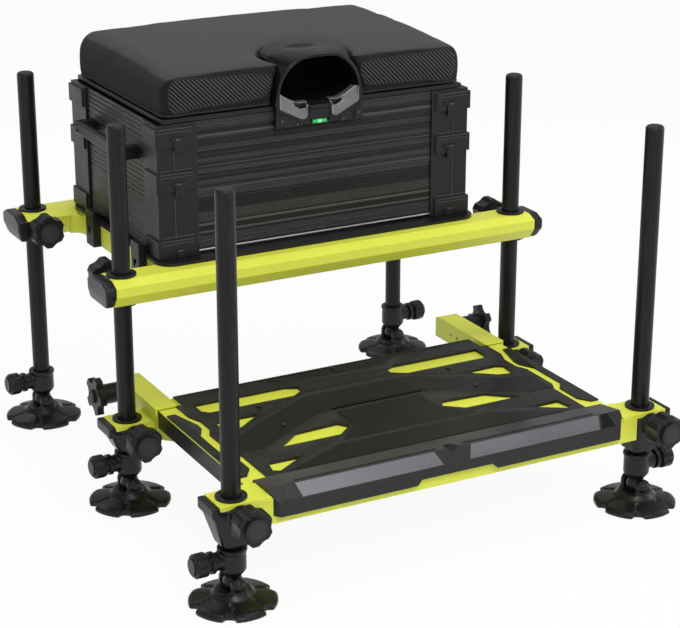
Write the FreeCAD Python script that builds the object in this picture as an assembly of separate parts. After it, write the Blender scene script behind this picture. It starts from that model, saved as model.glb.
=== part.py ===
import FreeCAD, Part

import math
import os
from FreeCAD import Vector as V

# Fishing seat box: a padded, hinged seat on three stacked box units, carried by a four leg
# frame, with a footplate in front that slides in two sleeves and stands on two more legs.
# X runs to the right, the front faces -Y and Z is up. The origin is at the bottom centre.

# Legs and their places
LEG_DIA = 25.0
LEG_WALL = 2.0
LEG_TOP = 547.0
LEG_CAP_ROUND = 5.0
LEG_CAP_PLUG = 18.0
LEG_SPACING = 624.0
FRONT_REACH = 340.0
REAR_REACH = 350.0

# Clearances
RUN_FIT = 0.05
SEAT_GAP = 0.3
SLIDE_GAP = 0.3

# Feet
FOOT_DISC_DIA = 115.0
FOOT_RIM = 9.0
FOOT_DOME_TOP = 21.0
FOOT_DOME_DIA = 46.0
FOOT_LOBES = 6
FOOT_SCALLOP_DIA = 16.0
FOOT_SCALLOP_DEPTH = 9.0
FOOT_CREASE_DIA = 8.0
FOOT_CREASE_RISE = 1.5
BALL_Z = 31.0
BALL_DIA = 26.0
BALL_GAP = 0.5
EAR_THICK = 7.0
EAR_WIDTH = 22.0
TILT_PIN_DIA = 6.0
TILT_HEAD_DIA = 12.0
TILT_HEAD_THICK = 3.0
SOCKET_DIA = 36.0
SOCKET_LIP_DIA = 39.0
SOCKET_LIP = 6.0
SOCKET_BOTTOM = 46.0
SOCKET_TOP = 80.0
SOCKET_NECK_DIA = 22.0
SOCKET_FLOOR = 52.0
FOOT_KNOB_Z = 63.0
FOOT_BOSS_DIA = 24.0
FOOT_BOSS_REACH = 27.0
FOOT_STEM_DIA = 8.0
FOOT_COLLAR_DIA = 29.0
FOOT_COLLAR_LENGTH = 5.0
FOOT_WAIST_DIA = 22.0
FOOT_WAIST_LENGTH = 4.0
FOOT_HEAD_DIA = 33.0
FOOT_HEAD_LENGTH = 18.0
FOOT_HEAD_ROUND = 4.0
FOOT_FLUTES = 6
FOOT_FLUTE_DIA = 14.0
FOOT_FLUTE_DEPTH = 2.0
FOOT_CAP_DIA = 22.0
FOOT_CAP_THICK = 2.5

# Hand knobs that clamp the legs
KNOB_HUB_DIA = 30.0
KNOB_HUB_LENGTH = 8.0
KNOB_DIA = 50.0
KNOB_LENGTH = 24.0
KNOB_LOBES = 6
KNOB_SCALLOP_DIA = 34.0
KNOB_SCALLOP_DEPTH = 4.0
KNOB_CAP_DIA = 31.0
KNOB_CAP_THICK = 4.0
KNOB_STEM_DIA = 10.0
KNOB_EDGE = 3.0

# Star knobs that lock the footplate
STAR_BEHIND = 90.0
STAR_STEM_DIA = 8.0
STAR_SHAFT_DIA = 29.0
STAR_SHAFT_LENGTH = 32.0
STAR_DIA = 56.0
STAR_THICK = 10.0
STAR_LOBES = 5
STAR_SCALLOP_DIA = 24.0
STAR_SCALLOP_DEPTH = 9.0
STAR_NOSE_DIA = 20.0
STAR_NOSE_THICK = 3.0

# Upper frame
BEAM_TOP = 337.0
BEAM_HEIGHT = 36.0
BEAM_HALF = 35.0
BEAM_TOP_HALF = 19.0
BEAM_BOTTOM_HALF = 24.0
BEAM_UPPER_CHAMFER = 7.0
BEAM_LOWER_CHAMFER = 16.0
BEAM_OVERHANG = 21.0
BEAM_WALL = 3.0
BUSH_NECK_DIA = 30.0
BUSH_FLANGE_DIA = 41.0
BUSH_FLANGE = 3.5
BUSH_FIT = 0.02
STEM_HOLE_GAP = 0.4
CASTING_OVERHANG = 36.0
CASTING_WALL = 2.5
CASTING_BOSS = 0.5
CASTING_FOOT = 4.0
CASTING_FOOT_DIA = 44.0
RAIL_BESIDE_BOX = 4.0
RAIL_WIDTH = 28.0
RAIL_TOP_INSET = 1.0
FRONT_GUSSET = 12.0
GUSSET_GAP = 25.5

# Base tray between the frame and the box
TRAY_THICK = 4.0
TRAY_LEDGE = 8.0
TRAY_FRONT_LEDGE = 24.0
TRAY_REAR_LEDGE = 6.0
TRAY_CORNER = 26.0
TRAY_BAND = 32.0

# Box units
BOX_HALF = 246.0
BOX_FRONT_SET = 21.0
BOX_DEPTH = 318.0
PANEL_INSET = 3.0
WALL = 3.0
PANEL_LIFT = 4.0
BASE_TOP = 436.0
DRAWERS_TOP = 499.0
STACK_TOP = 530.0
POST_FRONT = 60.0
POST_SIDE = 47.0
POST_REAR_SIDE = 56.0
POST_GAP = 0.6
BLOCK_HEIGHT = 26.0
BLOCK_PROUD = 3.0
BLOCK_INSET = 6.0
LATCH_WIDTH = 11.0
LATCH_BAR_WIDTH = 20.0
LATCH_THICK = 2.0
LATCH_BELOW = 7.0
LATCH_ABOVE = 13.0
LATCH_BAR = 4.0
LATCH_FROM_EDGE = 30.0
GROOVE = 1.6
GROOVE_DEPTH = 0.8
GROOVE_PITCH = 7.0
SHELF = 2.0
DRAWER_GAP = 0.7
DRAWER_WALL = 1.6
DRAWER_FRONT_THICK = 3.0
DRAWER_LENGTH = 290.0
DRAWER_SIDE_DROP = 5.0

# Side handles
HANDLE_Z = 478.0
HANDLE_HEIGHT = 18.0
HANDLE_STANDOFF = 19.0
HANDLE_THICK = 8.0
HANDLE_LENGTH = 176.0
HANDLE_ARM = 14.0
HANDLE_ROUND = 3.0

# Clips that hold the base tray on the side rails
CLIP_WIDTH = 28.0
CLIP_THICK = 8.0
CLIP_BOTTOM = 302.0
CLIP_TOP = 356.0
CLIP_NOSE = 5.0
CLIP_FRONT_PLACE = 73.0
CLIP_REAR_PLACE = 246.0
CLIP_WINDOW = 14.0
CLIP_WINDOW_DROP = 6.0

# Lid, hinge and cushion
LID_GAP = 1.0
LID_THICK = 6.0
LID_SIDE_SET = 10.0
LID_SET = 3.0
HINGE_FROM_SIDE = 96.0
HINGE_LENGTH = 48.0
HINGE_GAP = 0.4
HINGE_KNUCKLE_DIA = 9.0
HINGE_PIN_DIA = 4.0
HINGE_BEHIND = 6.0
HINGE_LEAF_THICK = 2.0
HINGE_LEAF_DROP = 22.0
CUSHION_SIDE_SET = 7.0
CUSHION_FRONT_HEIGHT = 61.0
CUSHION_REAR_HEIGHT = 68.0
CUSHION_CROWN = 4.0
CUSHION_SIDE_DROP = 3.0
CUSHION_BASE_INSET = 2.0
CUSHION_BULGE = 1.5
CUSHION_FRONT_ROUND = 9.0
CUSHION_REAR_ROUND = 20.0
CUSHION_SIDE_ROUND = 24.0
CUSHION_PLAN_ROUND = 12.0
CUSHION_END_HEIGHT = 38.0
CUSHION_GAP = 0.4
CUSHION_RECESS = 3.0
CUSHION_SLICES = 7

# Catch bezel set into the seat front
BEZEL_HALF = 70.0
BEZEL_CROWN_HALF = 29.0
BEZEL_SHOULDER = 52.0
BEZEL_SHOULDER_DROP = 15.0
BEZEL_SPRING = 562.0
BEZEL_SPRING_HALF = 65.0
BEZEL_REAR_HALF = 64.0
BEZEL_REAR_ROUND = 8.0
BEZEL_FLARE = 34.0
BEZEL_TOP = 603.0
BEZEL_CROWN = 2.0
BEZEL_BOTTOM = 505.0
BEZEL_PROUD = 6.0
BEZEL_DEPTH = 96.0
BEZEL_CORNER_DEPTH = 48.0
BEZEL_WALL = 3.5
BEZEL_SILL = 534.0
BEZEL_FLOOR = 2.5
BEZEL_LUG = 5.0
BEZEL_MOUTH_CORNER = 556.0
BEZEL_MOUTH_DEPTH = 70.0
BEZEL_FOOT_INNER = 29.0
BEZEL_FOOT_LOW = 513.0
BEZEL_FOOT_HIGH = 529.0
CATCH_HALF = 15.0
CATCH_GAP = 0.5
CATCH_BOTTOM = 514.0
CATCH_THICK = 3.0
CATCH_PIVOT_Z = 531.0
CATCH_BARREL_DIA = 7.0
CATCH_PIN_DIA = 3.0
VIAL_DIA = 6.0
VIAL_LENGTH = 22.0
VIAL_CRADLE = 2.0

# Carrier: sleeves that hold the footplate rails, clamped on the middle legs
SLEEVE_INSIDE_LEG = 31.0
SLEEVE_WALL = 2.0
SLEEVE_BOTTOM = 115.0
SLEEVE_FRONT = 33.0
SLEEVE_REAR = 108.0
COVER_THICK = 3.0
COVER_LAP = 2.0
COVER_REAR = 101.0
COVER_LEG = 10.0
PLATE_THICK = 6.0
PLATE_HALF = 24.0
PLATE_OVERHANG = 26.0
MIDDLE_PLATE_TOP = 126.0
BRACKET_INSIDE_LEG = 20.0
BRACKET_BOTTOM = 88.0
BRACKET_KNEE = 102.0
BRACKET_THICK = 6.0
SIGHT_HOLE_DIA = 6.0
SIGHT_HOLE_PITCH = 18.0
SIGHT_HOLE_BEHIND = 45.0
CLAMP_KNOB_DROP = 15.0
MIDDLE_CLAMP_BOTTOM = 84.0
CLAMP_TOP_HALF = 26.0
CLAMP_BOTTOM_HALF = 18.5
CLAMP_CORNER = 8.0
CLAMP_LIP = 10.0
CLAMP_BOSS_DIA = 30.0

# Footplate
RAIL_SIZE = 25.4
RAIL_WALL = 2.5
RAIL_REAR = 106.0
FRONT_PLATE_TOP = 147.0
FRONT_CLAMP_BOTTOM = 85.0
CORNER_INSIDE_LEG = 20.0
CORNER_BOTTOM = 109.0
CORNER_REAR = 32.0
CORNER_FRONT = 23.0
DECK_SIDE_GAP = 5.0
DECK_PLATE = 4.0
DECK_RECESS = 2.0
DECK_RIM = 8.0
DECK_FLANGE = 1.5
DECK_FLANGE_GAP = 3.0
DECK_SKIRT = 14.0
DECK_SKIRT_WALL = 4.0
DECK_REAR_SET = 2.0
DECK_RIBS = 4
MAT_THICK = 2.5
MAT_SIDE_SET = 1.0
MAT_STEP = 6.0
MAT_REAR_SET = 2.0
STRIP_BAND = 14.0
STRIP_NARROW_BAND = 8.0
STRIP_SIDE_SET = 0.7
STRIP_REAR = 62.0
STRIP_FRONT = 18.0
BAR_INSIDE_LEG = 45.0
BAR_REAR = 30.0
BAR_REAR_TOP = 148.5
BAR_APEX = 15.0
BAR_APEX_TOP = 156.0
BAR_SHOULDER = 29.0
BAR_SHOULDER_TOP = 139.0
BAR_FRONT = 32.0
BAR_LIP = 120.0
BAR_CENTRE_RAISE = 7.0
BAR_CENTRE_HALF = 54.0
BAR_END_CHAMFER = 10.0
BAR_NOTCH_HALF = 12.0
BAR_NOTCH_DEPTH = 6.0

# Worked out from the sizes above
LEG_R = LEG_DIA / 2
LEG_X = LEG_SPACING / 2
LEG_BORE_R = LEG_R + RUN_FIT
LEG_BOTTOM = SOCKET_FLOOR + SEAT_GAP
CASTING_FACE = BEAM_HALF + CASTING_WALL
KNOB_SEAT = CASTING_FACE + CASTING_BOSS
KNOB_REACH = KNOB_SEAT + SEAT_GAP + KNOB_HUB_LENGTH + KNOB_LENGTH + KNOB_CAP_THICK
FRONT_OVERHANG = FRONT_REACH + KNOB_REACH
REAR_OVERHANG = REAR_REACH + FOOT_DISC_DIA / 2
MIDDLE_Y = (FRONT_OVERHANG - REAR_OVERHANG) / 2
FRONT_Y = MIDDLE_Y - FRONT_REACH
REAR_Y = MIDDLE_Y + REAR_REACH
BEAM_BOTTOM = BEAM_TOP - BEAM_HEIGHT
BEAM_KNOB_Z = BEAM_TOP - BEAM_HEIGHT / 2
STEM_TIP = LEG_R + SEAT_GAP
BOX_FRONT = MIDDLE_Y + BOX_FRONT_SET
BOX_REAR = BOX_FRONT + BOX_DEPTH
TRAY_TOP = BEAM_TOP + TRAY_THICK
BEAM_END = LEG_X + BEAM_OVERHANG
CASTING_END = LEG_X + CASTING_OVERHANG
PLATE_END = LEG_X + PLATE_OVERHANG
CASTING_INNER = LEG_X - BUSH_FLANGE_DIA / 2
RAIL_OUTER = BOX_HALF + RAIL_BESIDE_BOX
REAR_GUSSET = CASTING_INNER - GUSSET_GAP - RAIL_OUTER
TRAY_HALF = BOX_HALF + TRAY_LEDGE
CLIP_OUTER = TRAY_HALF + CLIP_THICK
LID_HALF = BOX_HALF - LID_SIDE_SET
HINGE_PLACE = BOX_HALF - HINGE_FROM_SIDE
CUSHION_HALF = BOX_HALF - CUSHION_SIDE_SET
PANEL_HALF = BOX_HALF - PANEL_INSET
PANEL_FRONT = BOX_FRONT + PANEL_INSET
PANEL_REAR = BOX_REAR - PANEL_INSET
DRAWER_HALF = BOX_HALF - POST_FRONT - DRAWER_GAP
LID_BOTTOM = STACK_TOP + LID_GAP
LID_TOP = LID_BOTTOM + LID_THICK
HINGE_Y = BOX_REAR + HINGE_BEHIND
HINGE_Z = LID_BOTTOM + HINGE_KNUCKLE_DIA / 2
SLEEVE_SIZE = RAIL_SIZE + 2 * SLIDE_GAP + 2 * SLEEVE_WALL
SLEEVE_OUTER = LEG_X - SLEEVE_INSIDE_LEG
SLEEVE_INNER = SLEEVE_OUTER - SLEEVE_SIZE
SLEEVE_FRONT_Y = MIDDLE_Y - SLEEVE_FRONT
RAIL_X_OUTER = SLEEVE_OUTER - SLEEVE_WALL - SLIDE_GAP
RAIL_X_INNER = RAIL_X_OUTER - RAIL_SIZE
RAIL_Z = SLEEVE_BOTTOM + SLEEVE_SIZE / 2
RAIL_FRONT_Y = FRONT_Y + CORNER_REAR
DECK_HALF = SLEEVE_INNER - DECK_SIDE_GAP
DECK_TOP = RAIL_Z + RAIL_SIZE / 2 + DECK_FLANGE
BAR_HALF = LEG_X - BAR_INSIDE_LEG
STAR_Y = MIDDLE_Y + STAR_BEHIND
MIDDLE_KNOB_Z = MIDDLE_PLATE_TOP - CLAMP_KNOB_DROP
FRONT_KNOB_Z = FRONT_PLATE_TOP - CLAMP_KNOB_DROP
SIDES = (("left", -1), ("right", 1))
ROWS = (("front", FRONT_Y), ("middle", MIDDLE_Y), ("rear", REAR_Y))


def box(x0, x1, y0, y1, z0, z1):
    """A box between two corners, given in any order."""
    low = V(min(x0, x1), min(y0, y1), min(z0, z1))
    return Part.makeBox(abs(x1 - x0), abs(y1 - y0), abs(z1 - z0), low)


def rod(diameter, start, end):
    """A cylinder from one point to another."""
    way = end - start
    return Part.makeCylinder(diameter / 2, way.Length, start, way)


def prism(points, way):
    """A straight extrusion of the flat outline through the points."""
    return Part.Face(Part.makePolygon(points + points[:1])).extrude(way)


def turned(outline, x, y):
    """A solid turned about the vertical axis at x, y, from radius and height pairs."""
    points = [V(x + radius, y, height) for radius, height in outline]
    face = Part.Face(Part.makePolygon(points + points[:1]))
    return face.revolve(V(x, y, 0), V(0, 0, 1), 360)


def rounded_wire(x0, x1, y0, y1, z, radius):
    """A level rectangle with round corners, as four lines and four arcs."""
    x0, x1 = min(x0, x1), max(x0, x1)
    centres = (V(x1 - radius, y1 - radius, z), V(x0 + radius, y1 - radius, z),
               V(x0 + radius, y0 + radius, z), V(x1 - radius, y0 + radius, z))
    arcs = []
    for quarter, centre in enumerate(centres):
        angles = [math.pi / 2 * (quarter + share) for share in (0, 0.5, 1)]
        arcs.append([centre + V(math.cos(angle), math.sin(angle), 0) * radius
                     for angle in angles])
    edges = []
    for arc, following in zip(arcs, arcs[1:] + arcs[:1]):
        edges.append(Part.Arc(*arc).toShape())
        edges.append(Part.LineSegment(arc[-1], following[0]).toShape())
    return Part.Wire(edges)


def rounded_slab(x0, x1, y0, y1, z0, z1, radius):
    """A level slab with round upright corners."""
    return Part.Face(rounded_wire(x0, x1, y0, y1, z0, radius)).extrude(V(0, 0, z1 - z0))


def fused(solids):
    """One solid from overlapping or touching ones."""
    first, *others = solids
    return first.multiFuse(others).removeSplitter() if others else first


def mirrored(shape):
    """The same shape on the other side of the centre plane."""
    return shape.mirror(V(0, 0, 0), V(1, 0, 0))


def both_sides(shape):
    """A shape on the left with its mirror image on the right."""
    return [shape, mirrored(shape)]


def save(name, shapes):
    """Write the solids of one node to its file."""
    solids = [solid for shape in shapes for solid in shape.Solids]
    for solid in solids:
        if not solid.isValid() or solid.Volume <= 0:
            print("check the shape of", name)
    Part.makeCompound(solids).exportStep(f"parts/{name}.step")
    print(name, len(solids), round(sum(solid.Volume for solid in solids)))


def ring_of_cuts(body, centre, axis, count, cutter_diameter, distance, length):
    """Scallops cut round an axis that starts at the centre point."""
    side = axis.cross(V(0, 0, 1)) if abs(axis.z) < 0.5 else V(1, 0, 0)
    side.normalize()
    up = axis.cross(side)
    cutters = []
    for index in range(count):
        angle = 2 * math.pi * index / count
        spot = centre + side * (distance * math.cos(angle)) + up * (distance * math.sin(angle))
        cutters.append(Part.makeCylinder(cutter_diameter / 2, length, spot, axis))
    return body.cut(Part.makeCompound(cutters))


def leg(x, y):
    """A leg tube with the moulded plug that closes its upper end."""
    shoulder = LEG_TOP - LEG_CAP_ROUND
    tube = rod(LEG_DIA, V(x, y, LEG_BOTTOM), V(x, y, shoulder))
    tube = tube.cut(rod(LEG_DIA - 2 * LEG_WALL, V(x, y, LEG_BOTTOM), V(x, y, shoulder)))
    cap = rod(LEG_DIA, V(x, y, shoulder), V(x, y, LEG_TOP))
    cap = cap.makeFillet(LEG_CAP_ROUND - RUN_FIT, [top_edge(cap)])
    plug_dia = LEG_DIA - 2 * LEG_WALL - 2 * RUN_FIT
    plug = rod(plug_dia, V(x, y, shoulder - LEG_CAP_PLUG), V(x, y, shoulder))
    return [tube, fused([cap, plug])]


def top_edge(shape):
    """The highest closed edge of a turned shape."""
    round_edges = [edge for edge in shape.Edges if edge.isClosed()]
    return max(round_edges, key=lambda edge: edge.CenterOfMass.z)


def foot_socket(x, y, side):
    """Moulded socket that holds a leg end, with the screw boss and the ball under it."""
    neck = SOCKET_NECK_DIA / 2
    wide = SOCKET_DIA / 2
    lip = SOCKET_LIP_DIA / 2
    outline = [(0, BALL_Z), (neck, BALL_Z), (neck, SOCKET_BOTTOM - neck / 2),
               (wide, SOCKET_BOTTOM + neck / 4), (wide, SOCKET_TOP - SOCKET_LIP),
               (lip, SOCKET_TOP - SOCKET_LIP + 1), (lip, SOCKET_TOP - 1),
               (lip - 1, SOCKET_TOP), (0, SOCKET_TOP)]
    ball = Part.makeSphere(BALL_DIA / 2, V(x, y, BALL_Z))
    boss = rod(FOOT_BOSS_DIA, V(x, y, FOOT_KNOB_Z), V(x + side * FOOT_BOSS_REACH, y, FOOT_KNOB_Z))
    body = fused([turned(outline, x, y), ball, boss])
    body = body.cut(rod(2 * LEG_BORE_R, V(x, y, SOCKET_FLOOR), V(x, y, SOCKET_TOP + 1)))
    screw_bore = rod(FOOT_STEM_DIA + 2 * RUN_FIT, V(x, y, FOOT_KNOB_Z),
                     V(x + side * (FOOT_BOSS_REACH + 1), y, FOOT_KNOB_Z))
    half = BALL_DIA
    pin_bore = rod(TILT_PIN_DIA + 2 * RUN_FIT, V(x, y - half, BALL_Z), V(x, y + half, BALL_Z))
    return body.cut(screw_bore).cut(pin_bore)


def foot_knob(x, y, side):
    """Fluted hand screw that tightens the foot socket on the leg."""
    way = V(side, 0, 0)
    axis = V(x, y, FOOT_KNOB_Z)
    collar = FOOT_BOSS_REACH + SEAT_GAP
    waist = collar + FOOT_COLLAR_LENGTH
    head = waist + FOOT_WAIST_LENGTH
    cap = head + FOOT_HEAD_LENGTH
    grip = rod(FOOT_HEAD_DIA, axis + way * head, axis + way * cap)
    grip = grip.makeFillet(FOOT_HEAD_ROUND, [edge for edge in grip.Edges if edge.isClosed()])
    distance = (FOOT_HEAD_DIA + FOOT_FLUTE_DIA) / 2 - FOOT_FLUTE_DEPTH
    grip = ring_of_cuts(grip, axis + way * (head - 1), way, FOOT_FLUTES, FOOT_FLUTE_DIA,
                        distance, FOOT_HEAD_LENGTH + 2)
    return fused([rod(FOOT_STEM_DIA, axis + way * STEM_TIP, axis + way * (collar + 1)),
                  rod(FOOT_COLLAR_DIA, axis + way * collar, axis + way * waist),
                  rod(FOOT_WAIST_DIA, axis + way * waist, axis + way * head),
                  grip,
                  rod(FOOT_CAP_DIA, axis + way * cap, axis + way * (cap + FOOT_CAP_THICK))])


def foot_disc(x, y):
    """Wide lobed foot with two ears and the cross bolt on which it tilts."""
    rim = FOOT_DISC_DIA / 2
    dome = FOOT_DOME_DIA / 2
    outline = [(0, 0), (rim - 1.5, 0), (rim, 1.5), (rim, FOOT_RIM - 3), (rim - 5, FOOT_RIM),
               (dome + 6, FOOT_RIM + 5), (dome, FOOT_DOME_TOP), (0, FOOT_DOME_TOP)]
    plate = turned(outline, x, y)
    distance = rim + FOOT_SCALLOP_DIA / 2 - FOOT_SCALLOP_DEPTH
    plate = ring_of_cuts(plate, V(x, y, -1), V(0, 0, 1), FOOT_LOBES, FOOT_SCALLOP_DIA,
                         distance, FOOT_DOME_TOP)
    near = dome + FOOT_CREASE_DIA
    for index in range(FOOT_LOBES):
        angle = 2 * math.pi * index / FOOT_LOBES
        way = V(math.cos(angle), math.sin(angle), 0)
        start = V(x, y, FOOT_RIM + FOOT_CREASE_DIA / 2 + FOOT_CREASE_RISE) + way * near
        end = V(x, y, FOOT_RIM + FOOT_CREASE_RISE) + way * rim
        plate = plate.cut(rod(FOOT_CREASE_DIA, start, end))
    inner = BALL_DIA / 2 + BALL_GAP
    outer = inner + EAR_THICK
    half = EAR_WIDTH / 2
    ears = []
    for way in (-1, 1):
        block = box(x - half, x + half, y + way * inner, y + way * outer, FOOT_RIM, BALL_Z)
        crown = rod(EAR_WIDTH, V(x, y + way * inner, BALL_Z), V(x, y + way * outer, BALL_Z))
        ears += [block, crown]
    body = fused([plate] + ears).cut(Part.makeSphere(inner, V(x, y, BALL_Z)))
    reach = outer + TILT_HEAD_THICK
    bore = rod(TILT_PIN_DIA + 2 * BUSH_FIT, V(x, y - reach, BALL_Z), V(x, y + reach, BALL_Z))
    pin = rod(TILT_PIN_DIA, V(x, y - reach, BALL_Z), V(x, y + reach, BALL_Z))
    heads = [rod(TILT_HEAD_DIA, V(x, y + way * outer, BALL_Z), V(x, y + way * reach, BALL_Z))
             for way in (-1, 1)]
    return [body.cut(bore), fused([pin] + heads)]


def clamp_knob(x, y, z, way):
    """Lobed hand knob whose screw presses on a leg, along Y in the way given."""
    along = V(0, way, 0)
    axis = V(x, y, z)
    hub = KNOB_SEAT + SEAT_GAP
    grip_start = hub + KNOB_HUB_LENGTH
    grip_end = grip_start + KNOB_LENGTH
    grip = rod(KNOB_DIA, axis + along * grip_start, axis + along * grip_end)
    grip = grip.makeFillet(KNOB_EDGE, [edge for edge in grip.Edges if edge.isClosed()])
    distance = (KNOB_DIA + KNOB_SCALLOP_DIA) / 2 - KNOB_SCALLOP_DEPTH
    grip = ring_of_cuts(grip, axis + along * (grip_start - 1), along, KNOB_LOBES,
                        KNOB_SCALLOP_DIA, distance, KNOB_LENGTH + 2)
    return fused([rod(KNOB_STEM_DIA, axis + along * STEM_TIP, axis + along * (hub + 1)),
                  rod(KNOB_HUB_DIA, axis + along * hub, axis + along * (grip_start + 1)),
                  grip,
                  rod(KNOB_CAP_DIA, axis + along * grip_end,
                      axis + along * (grip_end + KNOB_CAP_THICK))])


def star_knob(side):
    """Lobed lock screw that presses through a sleeve on the footplate rail."""
    way = V(side, 0, 0)
    axis = V(0, STAR_Y, RAIL_Z)
    shaft = SLEEVE_OUTER + COVER_THICK + SEAT_GAP
    disc = shaft + STAR_SHAFT_LENGTH
    nose = disc + STAR_THICK
    grip = rod(STAR_DIA, axis + way * disc, axis + way * nose)
    distance = (STAR_DIA + STAR_SCALLOP_DIA) / 2 - STAR_SCALLOP_DEPTH
    grip = ring_of_cuts(grip, axis + way * (disc - 1), way, STAR_LOBES, STAR_SCALLOP_DIA,
                        distance, STAR_THICK + 2)
    return fused([rod(STAR_STEM_DIA, axis + way * (RAIL_X_OUTER + SLIDE_GAP),
                      axis + way * (shaft + 1)),
                  rod(STAR_SHAFT_DIA, axis + way * shaft, axis + way * (disc + 1)),
                  grip,
                  rod(STAR_NOSE_DIA, axis + way * nose, axis + way * (nose + STAR_NOSE_THICK))])


def beam(y, inset=0.0, start=-BEAM_END, end=BEAM_END):
    """A cross beam along X with its bevelled section, or a shorter or hollow part of it."""
    shoulder = BEAM_TOP - BEAM_UPPER_CHAMFER - inset / 2
    knee = BEAM_BOTTOM + BEAM_LOWER_CHAMFER + inset / 2
    half = [(BEAM_TOP_HALF - inset / 2, BEAM_TOP - inset), (BEAM_HALF - inset, shoulder),
            (BEAM_HALF - inset, knee), (BEAM_BOTTOM_HALF - inset / 2, BEAM_BOTTOM + inset)]
    section = half + [(-reach, z) for reach, z in reversed(half)]
    points = [V(start, y + reach, z) for reach, z in section]
    return prism(points, V(end - start, 0, 0))


def drilled_beam(y, way):
    """A cross beam with its two leg bores and the screw holes of its knobs."""
    body = beam(y).cut(beam(y, BEAM_WALL))
    for _, side in SIDES:
        x = side * LEG_X
        body = body.cut(rod(BUSH_NECK_DIA + 2 * BUSH_FIT, V(x, y, BEAM_BOTTOM - 1),
                            V(x, y, BEAM_TOP + 1)))
        body = body.cut(rod(KNOB_STEM_DIA + 2 * STEM_HOLE_GAP, V(x, y, BEAM_KNOB_Z),
                            V(x, y + way * (BEAM_HALF + 1), BEAM_KNOB_Z)))
    return body


def frame_clamp(x, y, side, way):
    """Casting that wraps a beam end and carries a knob on one side of it."""
    reach = way * KNOB_SEAT
    outer = side * CASTING_END
    inner = side * CASTING_INNER
    face = way * CASTING_FACE
    floor = BEAM_BOTTOM - CASTING_FOOT
    back = -way * BEAM_TOP_HALF
    cap = beam(y, 0, side * BEAM_END, outer)
    wall = box(inner, outer, y + way * BEAM_TOP_HALF, y + face, BEAM_BOTTOM,
               BEAM_TOP - BEAM_UPPER_CHAMFER)
    boss = rod(CLAMP_BOSS_DIA, V(x, y + way * BEAM_TOP_HALF, BEAM_KNOB_Z),
               V(x, y + reach, BEAM_KNOB_Z))
    foot = rod(CASTING_FOOT_DIA, V(x, y, floor), V(x, y, BEAM_BOTTOM))
    link = box(x, outer, y + back, y + face, floor + CASTING_FOOT / 2, BEAM_BOTTOM)
    body = fused([cap, wall, boss, foot, link]).cut(beam(y))
    chamfer_low = prism([V(outer + side, y, floor), V(outer + side, y, BEAM_KNOB_Z),
                         V(outer - side * CASTING_FOOT, y, floor)], V(0, 2 * KNOB_DIA, 0))
    chamfer_low.translate(V(0, -KNOB_DIA, 0))
    body = body.cut(chamfer_low)
    body = body.cut(rod(2 * LEG_BORE_R, V(x, y, floor - 1), V(x, y, BEAM_BOTTOM + 1)))
    body = body.cut(rod(KNOB_STEM_DIA + 2 * RUN_FIT, V(x, y, BEAM_KNOB_Z),
                        V(x, y + reach + way, BEAM_KNOB_Z)))
    return max(body.Solids, key=lambda solid: solid.Volume)


def bush(x, y, top, neck_bottom):
    """Flanged bush that lines a leg bore."""
    neck = BUSH_NECK_DIA / 2
    flange = BUSH_FLANGE_DIA / 2
    outline = [(LEG_BORE_R, neck_bottom), (neck, neck_bottom), (neck, top), (flange, top),
               (flange, top + BUSH_FLANGE - 1), (flange - 1.5, top + BUSH_FLANGE),
               (LEG_BORE_R, top + BUSH_FLANGE)]
    return turned(outline, x, y)


def side_rail(side):
    """Rail between the two cross beams, with curved gussets at its outer corners."""
    outer = side * RAIL_OUTER
    inner = side * (RAIL_OUTER - RAIL_WIDTH)
    low = BEAM_BOTTOM + RAIL_TOP_INSET
    body = box(outer, inner, MIDDLE_Y, REAR_Y, low, BEAM_TOP)
    pieces = [body]
    for y, way, reach in ((MIDDLE_Y, 1, FRONT_GUSSET), (REAR_Y, -1, REAR_GUSSET)):
        far_x = side * (RAIL_OUTER + reach)
        far_y = y + way * (BEAM_HALF + reach)
        block = box(outer, far_x, y + way * BEAM_TOP_HALF, far_y, low,
                    BEAM_TOP - BEAM_UPPER_CHAMFER)
        hollow = rod(2 * reach, V(far_x, far_y, low - 1), V(far_x, far_y, BEAM_TOP + 1))
        pieces.append(block.cut(hollow))
    body = fused(pieces)
    for y in (MIDDLE_Y, REAR_Y):
        body = body.cut(beam(y))
    return max(body.Solids, key=lambda solid: solid.Volume)


def base_tray():
    """Ring plate that carries the box on the frame."""
    front = BOX_FRONT - TRAY_FRONT_LEDGE
    rear = BOX_REAR + TRAY_REAR_LEDGE
    plate = rounded_slab(-TRAY_HALF, TRAY_HALF, front, rear, BEAM_TOP, TRAY_TOP, TRAY_CORNER)
    inner = TRAY_HALF - TRAY_BAND
    window = rounded_slab(-inner, inner, front + TRAY_FRONT_LEDGE + TRAY_BAND,
                          rear - TRAY_BAND, BEAM_TOP - 1, TRAY_TOP + 1, TRAY_CORNER / 2)
    return plate.cut(window)


def tray_clip(y):
    """Clip on the left side rail that grips the edge of the base tray."""
    half = CLIP_WIDTH / 2
    lower = box(-CLIP_OUTER, -RAIL_OUTER, y - half, y + half, CLIP_BOTTOM, BEAM_TOP - SEAT_GAP)
    upper = box(-CLIP_OUTER, -TRAY_HALF - SEAT_GAP, y - half, y + half,
                BEAM_TOP - CLIP_NOSE, CLIP_TOP)
    nose = box(-CLIP_OUTER, -TRAY_HALF + CLIP_NOSE, y - half / 2, y + half / 2,
               TRAY_TOP + SEAT_GAP, TRAY_TOP + SEAT_GAP + CLIP_NOSE)
    face = -CLIP_OUTER - 1
    window_top = BEAM_TOP - CLIP_WINDOW_DROP
    window = prism([V(face, y - CLIP_WINDOW / 2, window_top),
                    V(face, y + CLIP_WINDOW / 2, window_top),
                    V(face, y + CLIP_WINDOW / 4, window_top - CLIP_WINDOW)],
                   V(CLIP_NOSE, 0, 0))
    return fused([lower, upper, nose]).cut(window)


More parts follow.
